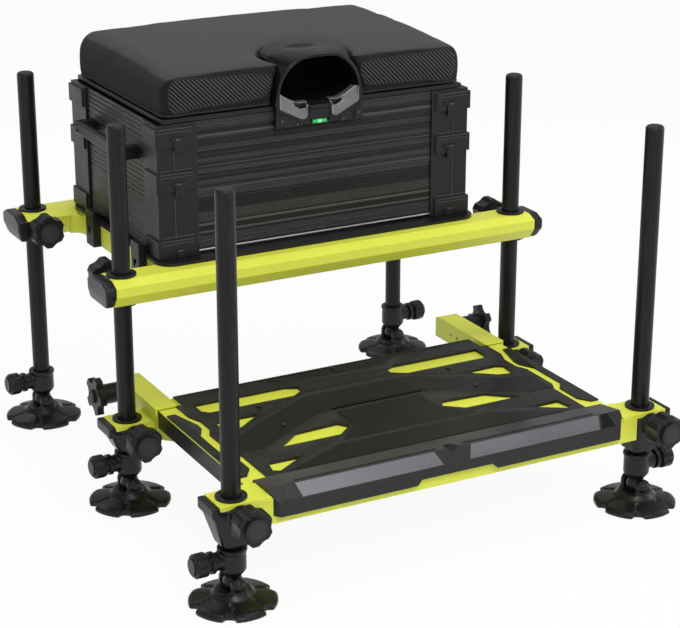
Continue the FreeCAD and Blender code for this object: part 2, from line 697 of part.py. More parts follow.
def shell(z0, z1, floor, roof):
    """A panel box with a floor and, where wanted, a roof."""
    body = box(-PANEL_HALF, PANEL_HALF, PANEL_FRONT, PANEL_REAR, z0, z1)
    top = z1 - roof if roof else z1 + 1
    return body.cut(box(-PANEL_HALF + WALL, PANEL_HALF - WALL, PANEL_FRONT + WALL,
                        PANEL_REAR - WALL, z0 + floor, top))


def groove_rings(heights, front=True):
    """Shallow level grooves round the outside of the panels."""
    cuts = []
    for z in heights:
        depth = GROOVE_DEPTH
        start = PANEL_FRONT + depth if front else PANEL_FRONT - 1
        outer = box(-PANEL_HALF - 1, PANEL_HALF + 1, PANEL_FRONT - 1, PANEL_REAR + 1, z, z + GROOVE)
        core = box(-PANEL_HALF + depth, PANEL_HALF - depth, start, PANEL_REAR - depth,
                   z - 1, z + GROOVE + 1)
        cuts.append(outer.cut(core))
    return Part.makeCompound(cuts)


def groove_heights(bottom, top):
    """Evenly spaced groove heights inside one panel."""
    count = int((top - bottom) // GROOVE_PITCH)
    first = (bottom + top - (count - 1) * GROOVE_PITCH - GROOVE) / 2
    return [first + index * GROOVE_PITCH for index in range(count)]


def base_unit():
    """Deep storage box at the bottom of the stack."""
    bottom = TRAY_TOP + PANEL_LIFT
    body = shell(bottom, BASE_TOP, WALL, 0)
    band = 3 * GROOVE_PITCH
    heights = groove_heights(bottom + 2, bottom + band) + groove_heights(BASE_TOP - band, BASE_TOP)
    return body.cut(groove_rings(heights))


def drawer_levels():
    """The bottom and top of the lower and the upper drawer."""
    middle = (BASE_TOP + DRAWERS_TOP) / 2
    lower = (BASE_TOP + SHELF + SEAT_GAP, middle - SHELF / 2 - DRAWER_GAP)
    upper = (middle + SHELF / 2 + SEAT_GAP, DRAWERS_TOP - SHELF - DRAWER_GAP)
    return lower, upper


def drawer_unit():
    """Housing with a shelf and two openings at the front for the drawers."""
    body = shell(BASE_TOP, DRAWERS_TOP, SHELF, SHELF)
    middle = (BASE_TOP + DRAWERS_TOP) / 2
    shelf = box(-PANEL_HALF + WALL / 2, PANEL_HALF - WALL / 2, PANEL_FRONT, PANEL_REAR - WALL / 2,
                middle - SHELF / 2, middle + SHELF / 2)
    mouth = box(-DRAWER_HALF - DRAWER_GAP, DRAWER_HALF + DRAWER_GAP, PANEL_FRONT - 1,
                PANEL_FRONT + WALL + 1, BASE_TOP + SHELF, DRAWERS_TOP - SHELF)
    body = fused([body.cut(mouth), shelf])
    for way in (-1, 1):
        wall_x = way * (DRAWER_HALF + DRAWER_GAP)
        guide = box(wall_x, wall_x + way * SHELF, PANEL_FRONT + WALL / 2, PANEL_REAR - WALL / 2,
                    BASE_TOP + SHELF / 2, DRAWERS_TOP - SHELF / 2)
        body = fused([body, guide])
    return body.cut(groove_rings(groove_heights(BASE_TOP, DRAWERS_TOP), front=False))


def drawer(bottom, top):
    """Open tray with a grooved front panel."""
    front = box(-DRAWER_HALF, DRAWER_HALF, PANEL_FRONT, PANEL_FRONT + DRAWER_FRONT_THICK,
                bottom, top)
    back = PANEL_FRONT + DRAWER_FRONT_THICK
    tray = box(-DRAWER_HALF, DRAWER_HALF, back - 1, back + DRAWER_LENGTH, bottom,
               top - DRAWER_SIDE_DROP)
    hollow = box(-DRAWER_HALF + DRAWER_WALL, DRAWER_HALF - DRAWER_WALL, back,
                 back + DRAWER_LENGTH - DRAWER_WALL, bottom + DRAWER_WALL, top + 1)
    body = fused([front, tray]).cut(hollow)
    for z in groove_heights(bottom, top):
        body = body.cut(box(-DRAWER_HALF - 1, DRAWER_HALF + 1, PANEL_FRONT - 1,
                            PANEL_FRONT + GROOVE_DEPTH, z, z + GROOVE))
    return body


def tray_unit():
    """Shallow open tray under the lid."""
    body = shell(DRAWERS_TOP, STACK_TOP, SHELF, 0)
    return body.cut(groove_rings(groove_heights(DRAWERS_TOP, STACK_TOP)))


def corner_post(z0, z1, rear):
    """Moulded corner of one unit at the left, with the raised block round its latch."""
    half = PANEL_HALF
    depth = POST_REAR_SIDE if rear else POST_SIDE
    outer_y, panel_y, way = (BOX_REAR, PANEL_REAR, -1) if rear else (BOX_FRONT, PANEL_FRONT, 1)
    low = z0 + POST_GAP
    face = box(-BOX_HALF, -BOX_HALF + POST_FRONT, outer_y, panel_y, low, z1)
    cheek = box(-BOX_HALF, -half, outer_y, outer_y + way * depth, low, z1)
    block_top = low + BLOCK_HEIGHT
    proud_y = outer_y - way * BLOCK_PROUD
    block = box(-BOX_HALF - BLOCK_PROUD, -BOX_HALF + POST_FRONT - BLOCK_INSET, proud_y,
                panel_y, low, block_top)
    side_block = box(-BOX_HALF - BLOCK_PROUD, -half, proud_y, outer_y + way * (depth - BLOCK_INSET),
                     low, block_top)
    body = fused([face, cheek, block, side_block])
    inside = box(-half, 0, panel_y, panel_y + way * BOX_DEPTH / 2, z0 - 1, z1 + 1)
    return body.cut(inside)


def unit_latch(joint_z, low, rear):
    """Spring latch at the left that ties a unit to what is under it, down to a low end."""
    outer_y, way = (BOX_REAR, -1) if rear else (BOX_FRONT, 1)
    back = outer_y - way * BLOCK_PROUD
    face = back - way * LATCH_THICK
    x = -BOX_HALF + LATCH_FROM_EDGE
    stem = box(x - LATCH_WIDTH / 2, x + LATCH_WIDTH / 2, back, face,
               joint_z + POST_GAP, joint_z + LATCH_ABOVE)
    head = box(x - LATCH_BAR_WIDTH / 2, x + LATCH_BAR_WIDTH / 2, back, face,
               joint_z + LATCH_ABOVE - LATCH_BAR, joint_z + LATCH_ABOVE)
    root = box(x - LATCH_WIDTH / 2, x + LATCH_WIDTH / 2, outer_y, face, low, joint_z + POST_GAP)
    return fused([stem, head, root])


def side_handle():
    """Carry handle on the left side of the box."""
    middle = (BOX_FRONT + BOX_REAR) / 2
    half = HANDLE_LENGTH / 2
    wall = -PANEL_HALF
    grip_in = wall - HANDLE_STANDOFF
    grip_out = grip_in - HANDLE_THICK
    z0, z1 = HANDLE_Z - HANDLE_HEIGHT / 2, HANDLE_Z + HANDLE_HEIGHT / 2
    body = box(grip_out, wall, middle - half, middle + half, z0, z1)
    body = body.cut(box(grip_in, wall + 1, middle - half + HANDLE_ARM, middle + half - HANDLE_ARM,
                        z0 - 1, z1 + 1))
    edges = [edge for edge in body.Edges
             if abs(edge.CenterOfMass.x - grip_out) < 0.01]
    return body.makeFillet(HANDLE_ROUND, edges)


def hinge_fixed(x):
    """Fixed leaf, two knuckles and pin of one lid hinge."""
    outer = HINGE_LENGTH / 2
    third = HINGE_LENGTH / 6
    leaf_top = HINGE_Z - HINGE_KNUCKLE_DIA / 2
    leaf = box(x - outer, x + outer, PANEL_REAR, PANEL_REAR + HINGE_LEAF_THICK,
               leaf_top - HINGE_LEAF_DROP, leaf_top)
    pieces = [leaf]
    for start, end in ((-outer, -third), (third, outer)):
        pieces.append(rod(HINGE_KNUCKLE_DIA, V(x + start, HINGE_Y, HINGE_Z),
                          V(x + end, HINGE_Y, HINGE_Z)))
        pieces.append(box(x + start, x + end, PANEL_REAR, HINGE_Y, leaf_top - HINGE_LEAF_THICK,
                          leaf_top))
        pieces.append(box(x + start, x + end, HINGE_Y - HINGE_LEAF_THICK / 2,
                          HINGE_Y + HINGE_LEAF_THICK / 2, leaf_top - HINGE_LEAF_THICK, HINGE_Z))
    pieces.append(rod(HINGE_PIN_DIA, V(x - outer, HINGE_Y, HINGE_Z), V(x + outer, HINGE_Y, HINGE_Z)))
    return fused(pieces)


def seat_lid():
    """Lid board with the moving knuckles of its two hinges."""
    board = box(-LID_HALF, LID_HALF, BOX_FRONT + LID_SET, BOX_REAR - LID_SET, LID_BOTTOM, LID_TOP)
    pieces = [board]
    reach = HINGE_LENGTH / 6 - HINGE_GAP
    for x in (-HINGE_PLACE, HINGE_PLACE):
        pieces.append(rod(HINGE_KNUCKLE_DIA, V(x - reach, HINGE_Y, HINGE_Z),
                          V(x + reach, HINGE_Y, HINGE_Z)))
        pieces.append(box(x - reach, x + reach, BOX_REAR - LID_SET - 1, HINGE_Y,
                          LID_TOP - HINGE_LEAF_THICK, LID_TOP))
    body = fused(pieces)
    for x in (-HINGE_PLACE, HINGE_PLACE):
        body = body.cut(rod(HINGE_PIN_DIA + 2 * RUN_FIT, V(x - reach - 1, HINGE_Y, HINGE_Z),
                            V(x + reach + 1, HINGE_Y, HINGE_Z)))
    return body


def arch(y, bottom, half, spring_half, spring, shoulder, top_half, top, crown):
    """Closed wire across the seat front: a base line, two sides, two shoulders and a crown."""
    sides = [V(-half, y, bottom), V(-spring_half, y, spring), V(-top_half, y, top)]
    left = [Part.LineSegment(sides[0], sides[1]).toShape(),
            Part.Arc(sides[1], V(-shoulder[0], y, shoulder[1]), sides[2]).toShape()]
    across = [V(-point.x, point.y, point.z) for point in sides]
    right = [Part.Arc(across[2], V(shoulder[0], y, shoulder[1]), across[1]).toShape(),
             Part.LineSegment(across[1], across[0]).toShape()]
    roof = Part.Arc(sides[2], V(0, y, top + crown), across[2]).toShape()
    base = Part.LineSegment(across[0], sides[0]).toShape()
    return Part.Wire(left + [roof] + right + [base])


def bezel_front(grow, y, bottom):
    """The bezel's front edge, a narrow arch on flared sides, grown by a margin."""
    shoulder = (BEZEL_SHOULDER + grow, BEZEL_TOP - BEZEL_SHOULDER_DROP + grow)
    return arch(y, bottom, BEZEL_HALF + grow, BEZEL_SPRING_HALF + grow, BEZEL_SPRING, shoulder,
                BEZEL_CROWN_HALF + grow, BEZEL_TOP + grow, BEZEL_CROWN)


def bezel_rear(grow, y, bottom):
    """The bezel's section further back, nearly square, grown by a margin."""
    half = BEZEL_REAR_HALF + grow
    top = BEZEL_TOP + grow
    nick = BEZEL_REAR_ROUND * (1 - math.sqrt(0.5))
    return arch(y, bottom, BEZEL_HALF + grow, half, top - BEZEL_REAR_ROUND, (half - nick, top - nick),
                half - BEZEL_REAR_ROUND, top, BEZEL_CROWN)


def bezel_plan(grow, front):
    """Plan of the bezel, with its curved back, as an upright solid."""
    corner = BOX_FRONT + BEZEL_CORNER_DEPTH
    back = BOX_FRONT + BEZEL_DEPTH + grow
    half = BEZEL_HALF + grow
    rear_half = BEZEL_REAR_HALF + grow
    wire = Part.Wire([
        Part.LineSegment(V(-rear_half, corner, 0), V(-half, front, 0)).toShape(),
        Part.LineSegment(V(-half, front, 0), V(half, front, 0)).toShape(),
        Part.LineSegment(V(half, front, 0), V(rear_half, corner, 0)).toShape(),
        Part.Arc(V(rear_half, corner, 0), V(0, back, 0), V(-rear_half, corner, 0)).toShape()])
    return Part.Face(wire).extrude(V(0, 0, 2 * BEZEL_TOP))


def bezel_envelope(grow, bottom):
    """The bezel's outer form, grown by a margin."""
    front = BOX_FRONT - BEZEL_PROUD - grow
    bend = BOX_FRONT + BEZEL_FLARE
    hood = Part.makeLoft([bezel_front(grow, front, bottom), bezel_rear(grow, bend, bottom)],
                         True, True)
    rear = Part.Face(bezel_rear(grow, bend, bottom)).extrude(V(0, BEZEL_DEPTH, 0))
    return fused([hood, rear]).common(bezel_plan(grow, front))


def bezel_mouth():
    """The hand opening, a wide arch with a curved sill."""
    start = BOX_FRONT - BEZEL_PROUD - 1
    corner = BEZEL_SPRING_HALF - BEZEL_WALL
    shoulder = BEZEL_SHOULDER - BEZEL_WALL
    top_half = BEZEL_CROWN_HALF - BEZEL_WALL / 2
    top = BEZEL_TOP - BEZEL_WALL
    low, high = BEZEL_MOUTH_CORNER, top - BEZEL_SHOULDER_DROP
    left, right = V(-corner, start, low), V(corner, start, low)
    top_left, top_right = V(-top_half, start, top), V(top_half, start, top)
    wire = Part.Wire([
        Part.Arc(right, V(0, start, BEZEL_SILL), left).toShape(),
        Part.Arc(left, V(-shoulder, start, high), top_left).toShape(),
        Part.Arc(top_left, V(0, start, top + BEZEL_CROWN), top_right).toShape(),
        Part.Arc(top_right, V(shoulder, start, high), right).toShape()])
    hollow = Part.Face(wire).extrude(V(0, BEZEL_PROUD + BEZEL_MOUTH_DEPTH + 1, 0))
    hollow = hollow.common(bezel_plan(-BEZEL_WALL, start))
    floor = box(-BEZEL_HALF, BEZEL_HALF, BOX_FRONT - SEAT_GAP, BOX_REAR, 0, LID_TOP + BEZEL_FLOOR)
    return hollow.cut(floor)


def bezel_wing(side):
    """The scoop between the sill of the hand opening and one foot of the bezel."""
    inner = side * (CATCH_HALF + CATCH_GAP + BEZEL_LUG)
    knee = side * BEZEL_FOOT_INNER
    outer = side * (BEZEL_SPRING_HALF - BEZEL_WALL)
    front = BOX_FRONT - BEZEL_PROUD - 1
    back = BOX_FRONT - SEAT_GAP
    roof = BEZEL_MOUTH_CORNER
    near = Part.makePolygon([V(inner, front, BEZEL_FOOT_LOW), V(knee, front, BEZEL_FOOT_LOW),
                             V(outer, front, BEZEL_FOOT_HIGH), V(outer, front, roof),
                             V(inner, front, roof), V(inner, front, BEZEL_FOOT_LOW)])
    far = Part.makePolygon([V(inner, back, BEZEL_SILL), V(knee, back, BEZEL_SILL),
                            V(outer, back, roof - BEZEL_WALL), V(outer, back, roof),
                            V(inner, back, roof), V(inner, back, BEZEL_SILL)])
    return Part.makeLoft([near, far], True, True)


def catch_bezel():
    """Glossy hood round the lid catch, with a deep hand opening."""
    front = BOX_FRONT - BEZEL_PROUD
    back = BOX_FRONT - SEAT_GAP
    apron = Part.Face(bezel_front(0, front, BEZEL_BOTTOM)).extrude(V(0, back - front, 0))
    body = fused([bezel_envelope(0, LID_TOP), apron]).cut(bezel_mouth())
    notch_half = CATCH_HALF + CATCH_GAP
    y, z = vial_axis()
    body = body.cut(box(-notch_half, notch_half, front - 1, BOX_FRONT + 1, z, BEZEL_SILL + 1))
    cradle = VIAL_LENGTH / 2 + VIAL_CRADLE
    for side in (-1, 1):
        body = body.cut(bezel_wing(side))
        body = body.cut(box(side * cradle, side * BEZEL_FOOT_INNER, front - 1, back + 1,
                            BEZEL_BOTTOM - 1, BEZEL_BOTTOM + VIAL_CRADLE))
    seat = VIAL_LENGTH / 2 + SEAT_GAP
    body = body.cut(rod(VIAL_DIA + 2 * SEAT_GAP, V(-seat, y, z), V(seat, y, z)))
    y = catch_axis_y()
    reach = notch_half + BEZEL_LUG / 2
    return body.cut(rod(CATCH_PIN_DIA, V(-reach, y, CATCH_PIVOT_Z), V(reach, y, CATCH_PIVOT_Z)))


def catch_axis_y():
    """Depth of the catch pivot, just inside the bezel front."""
    return BOX_FRONT - CATCH_BARREL_DIA / 2


def vial_axis():
    """Depth and height of the level vial in the bezel's lower edge."""
    return BOX_FRONT - BEZEL_PROUD / 2 - SEAT_GAP, BEZEL_BOTTOM + VIAL_DIA / 2 + VIAL_CRADLE


def cushion_height():
    """Height of the cushion in its middle."""
    return (CUSHION_FRONT_HEIGHT + CUSHION_REAR_HEIGHT) / 2 + CUSHION_CROWN


def cushion_section(x, height, set_back):
    """Side view of the cushion at one place along its width."""
    front = BOX_FRONT + set_back
    rear = BOX_REAR - set_back
    base = LID_TOP + CUSHION_GAP
    share = height / cushion_height()
    front_round = CUSHION_FRONT_ROUND * share
    rear_round = CUSHION_REAR_ROUND * share
    front_top = base + CUSHION_FRONT_HEIGHT * share
    rear_top = base + CUSHION_REAR_HEIGHT * share
    inset = CUSHION_BASE_INSET
    spots = [V(x, front + inset, base), V(x, front, front_top - front_round),
             V(x, front + front_round, front_top), V(x, rear - rear_round, rear_top),
             V(x, rear, rear_top - rear_round), V(x, rear - inset, base)]
    nick = 1 - math.sqrt(0.5)
    front_bulge = V(x, front - CUSHION_BULGE, (base + front_top) / 2)
    front_corner = V(x, front + front_round * nick, front_top - front_round * nick)
    crown = V(x, (front + rear) / 2, base + height)
    rear_corner = V(x, rear - rear_round * nick, rear_top - rear_round * nick)
    rear_bulge = V(x, rear + CUSHION_BULGE, (base + rear_top) / 2)
    return Part.Wire([
        Part.Arc(spots[0], front_bulge, spots[1]).toShape(),
        Part.Arc(spots[1], front_corner, spots[2]).toShape(),
        Part.Arc(spots[2], crown, spots[3]).toShape(),
        Part.Arc(spots[3], rear_corner, spots[4]).toShape(),
        Part.Arc(spots[4], rear_bulge, spots[5]).toShape(),
        Part.LineSegment(spots[5], spots[0]).toShape()])


def seat_cushion():
    """Padded block seat with a low crown, rounded ends and a recess round the bezel."""
    full = cushion_height()
    flat_half = CUSHION_HALF - CUSHION_SIDE_ROUND
    side_height = full - CUSHION_SIDE_DROP
    right = [(flat_half / 2, full - CUSHION_SIDE_DROP / 4, 0)]
    for index in range(CUSHION_SLICES):
        angle = math.pi / 2 * index / (CUSHION_SLICES - 1)
        right.append((flat_half + CUSHION_SIDE_ROUND * math.sin(angle),
                      CUSHION_END_HEIGHT + (side_height - CUSHION_END_HEIGHT) * math.cos(angle),
                      CUSHION_PLAN_ROUND * (1 - math.cos(angle))))
    left = [(-x, height, set_back) for x, height, set_back in reversed(right)]
    sections = [cushion_section(*station) for station in left + [(0, full, 0)] + right]
    body = Part.makeLoft(sections, True, True)
    return body.cut(bezel_envelope(CUSHION_RECESS, LID_TOP - 1))


def lid_catch():
    """Pull tab that pivots in the bezel on its own pin and holds the lid shut."""
    y = catch_axis_y()
    barrel = rod(CATCH_BARREL_DIA, V(-CATCH_HALF, y, CATCH_PIVOT_Z), V(CATCH_HALF, y, CATCH_PIVOT_Z))
    tab = box(-CATCH_HALF, CATCH_HALF, y - CATCH_THICK / 2, y + CATCH_THICK / 2,
              CATCH_BOTTOM, CATCH_PIVOT_Z)
    reach = CATCH_HALF + CATCH_GAP + BEZEL_LUG / 2 - SEAT_GAP
    pin = rod(CATCH_PIN_DIA - 2 * RUN_FIT, V(-reach, y, CATCH_PIVOT_Z), V(reach, y, CATCH_PIVOT_Z))
    return fused([barrel, tab, pin])


def spirit_level():
    """Round vial in a cradle under the catch."""
    y, z = vial_axis()
    return rod(VIAL_DIA, V(-VIAL_LENGTH / 2, y, z), V(VIAL_LENGTH / 2, y, z))


def sleeve(side):
    """Square sleeve with its plate round the middle leg and two gussets."""
    outer = side * SLEEVE_OUTER
    inner = side * SLEEVE_INNER
    knee = side * (LEG_X - BRACKET_INSIDE_LEG)
    top = SLEEVE_BOTTOM + SLEEVE_SIZE
    front, rear = SLEEVE_FRONT_Y, MIDDLE_Y + SLEEVE_REAR
    x = side * LEG_X
    tube = box(outer, inner, front, rear, SLEEVE_BOTTOM, top)
    channel = box(outer - side * SLEEVE_WALL, inner + side * SLEEVE_WALL, front - 1, rear + 1,
                  SLEEVE_BOTTOM + SLEEVE_WALL, top - SLEEVE_WALL)
    plate_low = MIDDLE_PLATE_TOP - PLATE_THICK
    plate = box(outer, side * PLATE_END, MIDDLE_Y - PLATE_HALF, MIDDLE_Y + PLATE_HALF,
                plate_low, MIDDLE_PLATE_TOP)
    gussets = []
    for way in (-1, 1):
        y = MIDDLE_Y + way * PLATE_HALF
        points = [V(knee, y, MIDDLE_PLATE_TOP), V(knee, y, BRACKET_KNEE),
                  V(inner, y, BRACKET_BOTTOM), V(inner, y, SLEEVE_BOTTOM),
                  V(outer, y, SLEEVE_BOTTOM), V(outer, y, MIDDLE_PLATE_TOP)]
        gussets.append(prism(points, V(0, -way * BRACKET_THICK, 0)))
    body = fused([tube, plate] + gussets).cut(channel)
    body = body.cut(rod(BUSH_NECK_DIA + 2 * BUSH_FIT, V(x, MIDDLE_Y, plate_low - 1),
                        V(x, MIDDLE_Y, MIDDLE_PLATE_TOP + 1)))
    body = body.cut(rod(STAR_STEM_DIA + 2 * RUN_FIT, V(outer + side, STAR_Y, RAIL_Z),
                        V(outer - side * (SLEEVE_WALL + 1), STAR_Y, RAIL_Z)))
    for step in (0, 1):
        y = MIDDLE_Y + SIGHT_HOLE_BEHIND + step * SIGHT_HOLE_PITCH
        body = body.cut(rod(SIGHT_HOLE_DIA, V(inner - side, y, RAIL_Z),
                            V(inner + side * (SLEEVE_WALL + 1), y, RAIL_Z)))
    return body


def sleeve_cover(side):
    """Bent cover on top of a sleeve."""
    outer = side * (SLEEVE_OUTER + COVER_THICK)
    inner = side * SLEEVE_INNER
    top = SLEEVE_BOTTOM + SLEEVE_SIZE
    front, rear = SLEEVE_FRONT_Y - COVER_LAP, MIDDLE_Y + COVER_REAR
    roof = box(outer, inner, front, rear, top, top + COVER_THICK)
    leg_side = box(outer, side * SLEEVE_OUTER, front, rear, top - COVER_LEG, top + COVER_THICK)
    return fused([roof, leg_side])


def lower_clamp(side, y, plate_top, bottom, inside):
    """Casting under a leg plate, with its knob boss at the front."""
    x = side * LEG_X
    top = plate_top - PLATE_THICK
    knob_z = plate_top - CLAMP_KNOB_DROP
    wide = rounded_wire(side * (LEG_X - inside), side * CASTING_END, y - CLAMP_TOP_HALF,
                        y + CLAMP_TOP_HALF, top, CLAMP_CORNER)
    narrow = rounded_wire(x - CLAMP_BOTTOM_HALF, x + CLAMP_BOTTOM_HALF, y - CLAMP_BOTTOM_HALF,
                          y + CLAMP_BOTTOM_HALF, bottom, CLAMP_CORNER)
    body = Part.makeLoft([narrow, wide], True, True)
    lip = box(side * PLATE_END, side * CASTING_END, y - PLATE_HALF, y + PLATE_HALF,
              top - CLAMP_LIP, plate_top)
    boss = rod(CLAMP_BOSS_DIA, V(x, y - PLATE_HALF, knob_z), V(x, y - KNOB_SEAT, knob_z))
    body = fused([body, lip, boss])
    body = body.cut(rod(2 * LEG_BORE_R, V(x, y, bottom - 1), V(x, y, plate_top + 1)))
    return body.cut(rod(KNOB_STEM_DIA + 2 * RUN_FIT, V(x, y, knob_z), V(x, y - KNOB_SEAT - 1, knob_z)))


def footplate_corner(side):
    """Casting that joins rail, deck and front leg."""
    x = side * LEG_X
    low = FRONT_PLATE_TOP - PLATE_THICK
    outer = side * (LEG_X - CORNER_INSIDE_LEG)
    block = box(side * DECK_HALF, outer, FRONT_Y - CORNER_FRONT, FRONT_Y + CORNER_REAR,
                CORNER_BOTTOM, DECK_TOP)
    plate = box(side * (BAR_HALF + SEAT_GAP), side * PLATE_END, FRONT_Y - PLATE_HALF,
                FRONT_Y + PLATE_HALF, low, FRONT_PLATE_TOP)
    body = fused([block, plate])
    return body.cut(rod(BUSH_NECK_DIA + 2 * BUSH_FIT, V(x, FRONT_Y, CORNER_BOTTOM - 1),
                        V(x, FRONT_Y, FRONT_PLATE_TOP + 1)))


def footplate_rail(side):
    """Square tube that slides in a sleeve."""
    outer, inner = side * RAIL_X_OUTER, side * RAIL_X_INNER
    low, high = RAIL_Z - RAIL_SIZE / 2, RAIL_Z + RAIL_SIZE / 2
    rear = MIDDLE_Y + RAIL_REAR
    tube = box(outer, inner, RAIL_FRONT_Y, rear, low, high)
    hollow = box(outer - side * RAIL_WALL, inner + side * RAIL_WALL, RAIL_FRONT_Y + RAIL_WALL,
                 rear + 1, low + RAIL_WALL, high - RAIL_WALL)
    return tube.cut(hollow)


def deck_rear():
    """Depth of the rear edge of the deck."""
    return MIDDLE_Y - DECK_REAR_SET


def deck_recess():
    """The shallow recess of the pan, which the mat fills."""
    half = DECK_HALF - DECK_RIM
    return box(-half, half, FRONT_Y + CORNER_REAR + DECK_RIM, deck_rear() - DECK_RIM,
               DECK_TOP - DECK_RECESS, DECK_TOP)


def deck_frame():
    """Painted pan under the mat, with its front beam, its ribs and flanges over the rails."""
    front = FRONT_Y - CORNER_FRONT
    beam_rear = FRONT_Y + CORNER_REAR
    rear = deck_rear()
    skirt = DECK_TOP - DECK_PLATE - DECK_SKIRT
    pan = box(-DECK_HALF, DECK_HALF, beam_rear - 1, rear, skirt, DECK_TOP)
    hollow = box(-DECK_HALF + DECK_SKIRT_WALL, DECK_HALF - DECK_SKIRT_WALL,
                 beam_rear - 2, rear - DECK_SKIRT_WALL, skirt - 1, DECK_TOP - DECK_PLATE)
    front_beam = box(-DECK_HALF, DECK_HALF, front, beam_rear, CORNER_BOTTOM, DECK_TOP)
    core = box(-DECK_HALF - 1, DECK_HALF + 1, front + DECK_SKIRT_WALL,
               beam_rear - DECK_SKIRT_WALL, CORNER_BOTTOM + DECK_SKIRT_WALL, DECK_TOP - DECK_PLATE)
    flange = box(-RAIL_X_OUTER, RAIL_X_OUTER, beam_rear, SLEEVE_FRONT_Y - DECK_FLANGE_GAP,
                 DECK_TOP - DECK_FLANGE, DECK_TOP)
    pieces = [pan.cut(hollow), front_beam.cut(core), flange]
    length = rear - beam_rear
    for index in range(1, DECK_RIBS + 1):
        y = beam_rear + length * index / (DECK_RIBS + 1)
        pieces.append(box(-DECK_HALF + 1, DECK_HALF - 1, y, y + DECK_SKIRT_WALL, skirt,
                          DECK_TOP - DECK_PLATE / 2))
    return fused(pieces).cut(deck_recess())


def deck_point(x, behind_front):
    """A point of the deck pattern, from its distance behind the front leg row."""
    return V(x, FRONT_Y + behind_front, DECK_TOP)


def mat_half_outline():
    """Right half of the mat's outline, with its stepped side edge."""
    rear = deck_rear() - FRONT_Y
    front = CORNER_REAR + SEAT_GAP
    sleeve = SLEEVE_FRONT_Y - DECK_FLANGE_GAP - FRONT_Y
    wide = DECK_HALF + MAT_SIDE_SET + MAT_STEP
    narrow = DECK_HALF - MAT_SIDE_SET
    steps = [(narrow, 110), (wide, 127), (wide, 193), (narrow, 210), (narrow, 240), (wide, 262)]
    return [(0, front), (narrow, front)] + steps + [
        (wide, sleeve), (narrow - MAT_REAR_SET, sleeve), (narrow - MAT_REAR_SET, rear), (0, rear)]


def deck_slots():
    """Right half of the slots: percent of the deck's half width, distance behind the front row."""
    rear = [(29, 290), (36, 298), (93.5, 298), (93.5, 270), (90, 261), (37.5, 261), (29.5, 274)]
    beside_rear = [(66, 227), (90, 229), (94, 223), (93, 195), (90, 190), (83, 195)]
    front = [(29.5, 132), (34, 148), (60.5, 144), (77, 110), (40, 110)]
    beside_front = [(71, 73), (91.5, 74), (93.5, 48), (90, 43)]
    return [[(share * DECK_HALF / 100, behind) for share, behind in slot]
            for slot in (rear, beside_rear, front, beside_front)]


def side_strip():
    """Right strip on the flange over a rail, with a stepped inner edge."""
    outer = RAIL_X_OUTER - STRIP_SIDE_SET
    wide = DECK_HALF + MAT_STEP + STRIP_BAND
    narrow = DECK_HALF + STRIP_NARROW_BAND
    rear = MIDDLE_Y - STRIP_REAR - FRONT_Y
    front = CORNER_REAR + STRIP_FRONT
    steps = [(wide, rear), (narrow, 230), (narrow, 216), (wide, 193), (wide, 127), (narrow, 110),
             (narrow, 68), (wide, front)]
    return prism([deck_point(x, y) for x, y in [(outer, front), (outer, rear)] + steps],
                 V(0, 0, MAT_THICK))


def deck_cover():
    """Moulded mat with slots, and the two side strips beside it."""
    points = [deck_point(x, y) for x, y in mat_half_outline()]
    half = prism(points, V(0, 0, MAT_THICK))
    mat = fused([half, mirrored(half), deck_recess()])
    under = V(0, 0, DECK_RECESS + 1)
    for slot in deck_slots():
        cutter = prism([deck_point(x, y) - under for x, y in slot], under + V(0, 0, MAT_THICK + 1))
        mat = mat.cut(cutter).cut(mirrored(cutter))
    return [mat] + both_sides(side_strip())


def front_bar():
    """Bevelled cover along the front edge of the footplate."""
    y = FRONT_Y
    section = [(y + CORNER_REAR, DECK_TOP), (y + CORNER_REAR, DECK_TOP + MAT_THICK),
               (y + BAR_REAR, BAR_REAR_TOP), (y - BAR_APEX, BAR_APEX_TOP),
               (y - BAR_SHOULDER, BAR_SHOULDER_TOP), (y - BAR_FRONT, BAR_LIP),
               (y - CORNER_FRONT, BAR_LIP), (y - CORNER_FRONT, DECK_TOP)]
    body = prism([V(-BAR_HALF, depth, z) for depth, z in section], V(2 * BAR_HALF, 0, 0))
    centre = prism([V(-BAR_CENTRE_HALF - BAR_CENTRE_RAISE, y - BAR_FRONT - 1, BAR_LIP),
                    V(BAR_CENTRE_HALF + BAR_CENTRE_RAISE, y - BAR_FRONT - 1, BAR_LIP),
                    V(BAR_CENTRE_HALF, y - BAR_FRONT - 1, BAR_LIP + BAR_CENTRE_RAISE),
                    V(-BAR_CENTRE_HALF, y - BAR_FRONT - 1, BAR_LIP + BAR_CENTRE_RAISE)],
                   V(0, BAR_FRONT - CORNER_FRONT + 1, 0))
    body = body.cut(centre)
    for _, side in SIDES:
        end = prism([V(side * (BAR_HALF - BAR_END_CHAMFER), y - BAR_FRONT - 1, 0),
                     V(side * (BAR_HALF + 1), y - BAR_FRONT - 1, 0),
                     V(side * (BAR_HALF + 1), y - BAR_SHOULDER + BAR_END_CHAMFER, 0)],
                    V(0, 0, 2 * BAR_APEX_TOP))
        body = body.cut(end)
    apex = V(0, y - BAR_APEX, BAR_APEX_TOP)
    notch = prism([apex + V(-BAR_NOTCH_HALF, -BAR_FRONT, 1), apex + V(BAR_NOTCH_HALF, -BAR_FRONT, 1),
                   apex + V(0, -BAR_FRONT, -BAR_NOTCH_DEPTH)], V(0, BAR_FRONT + BAR_REAR / 2, 0))
    return body.cut(notch)


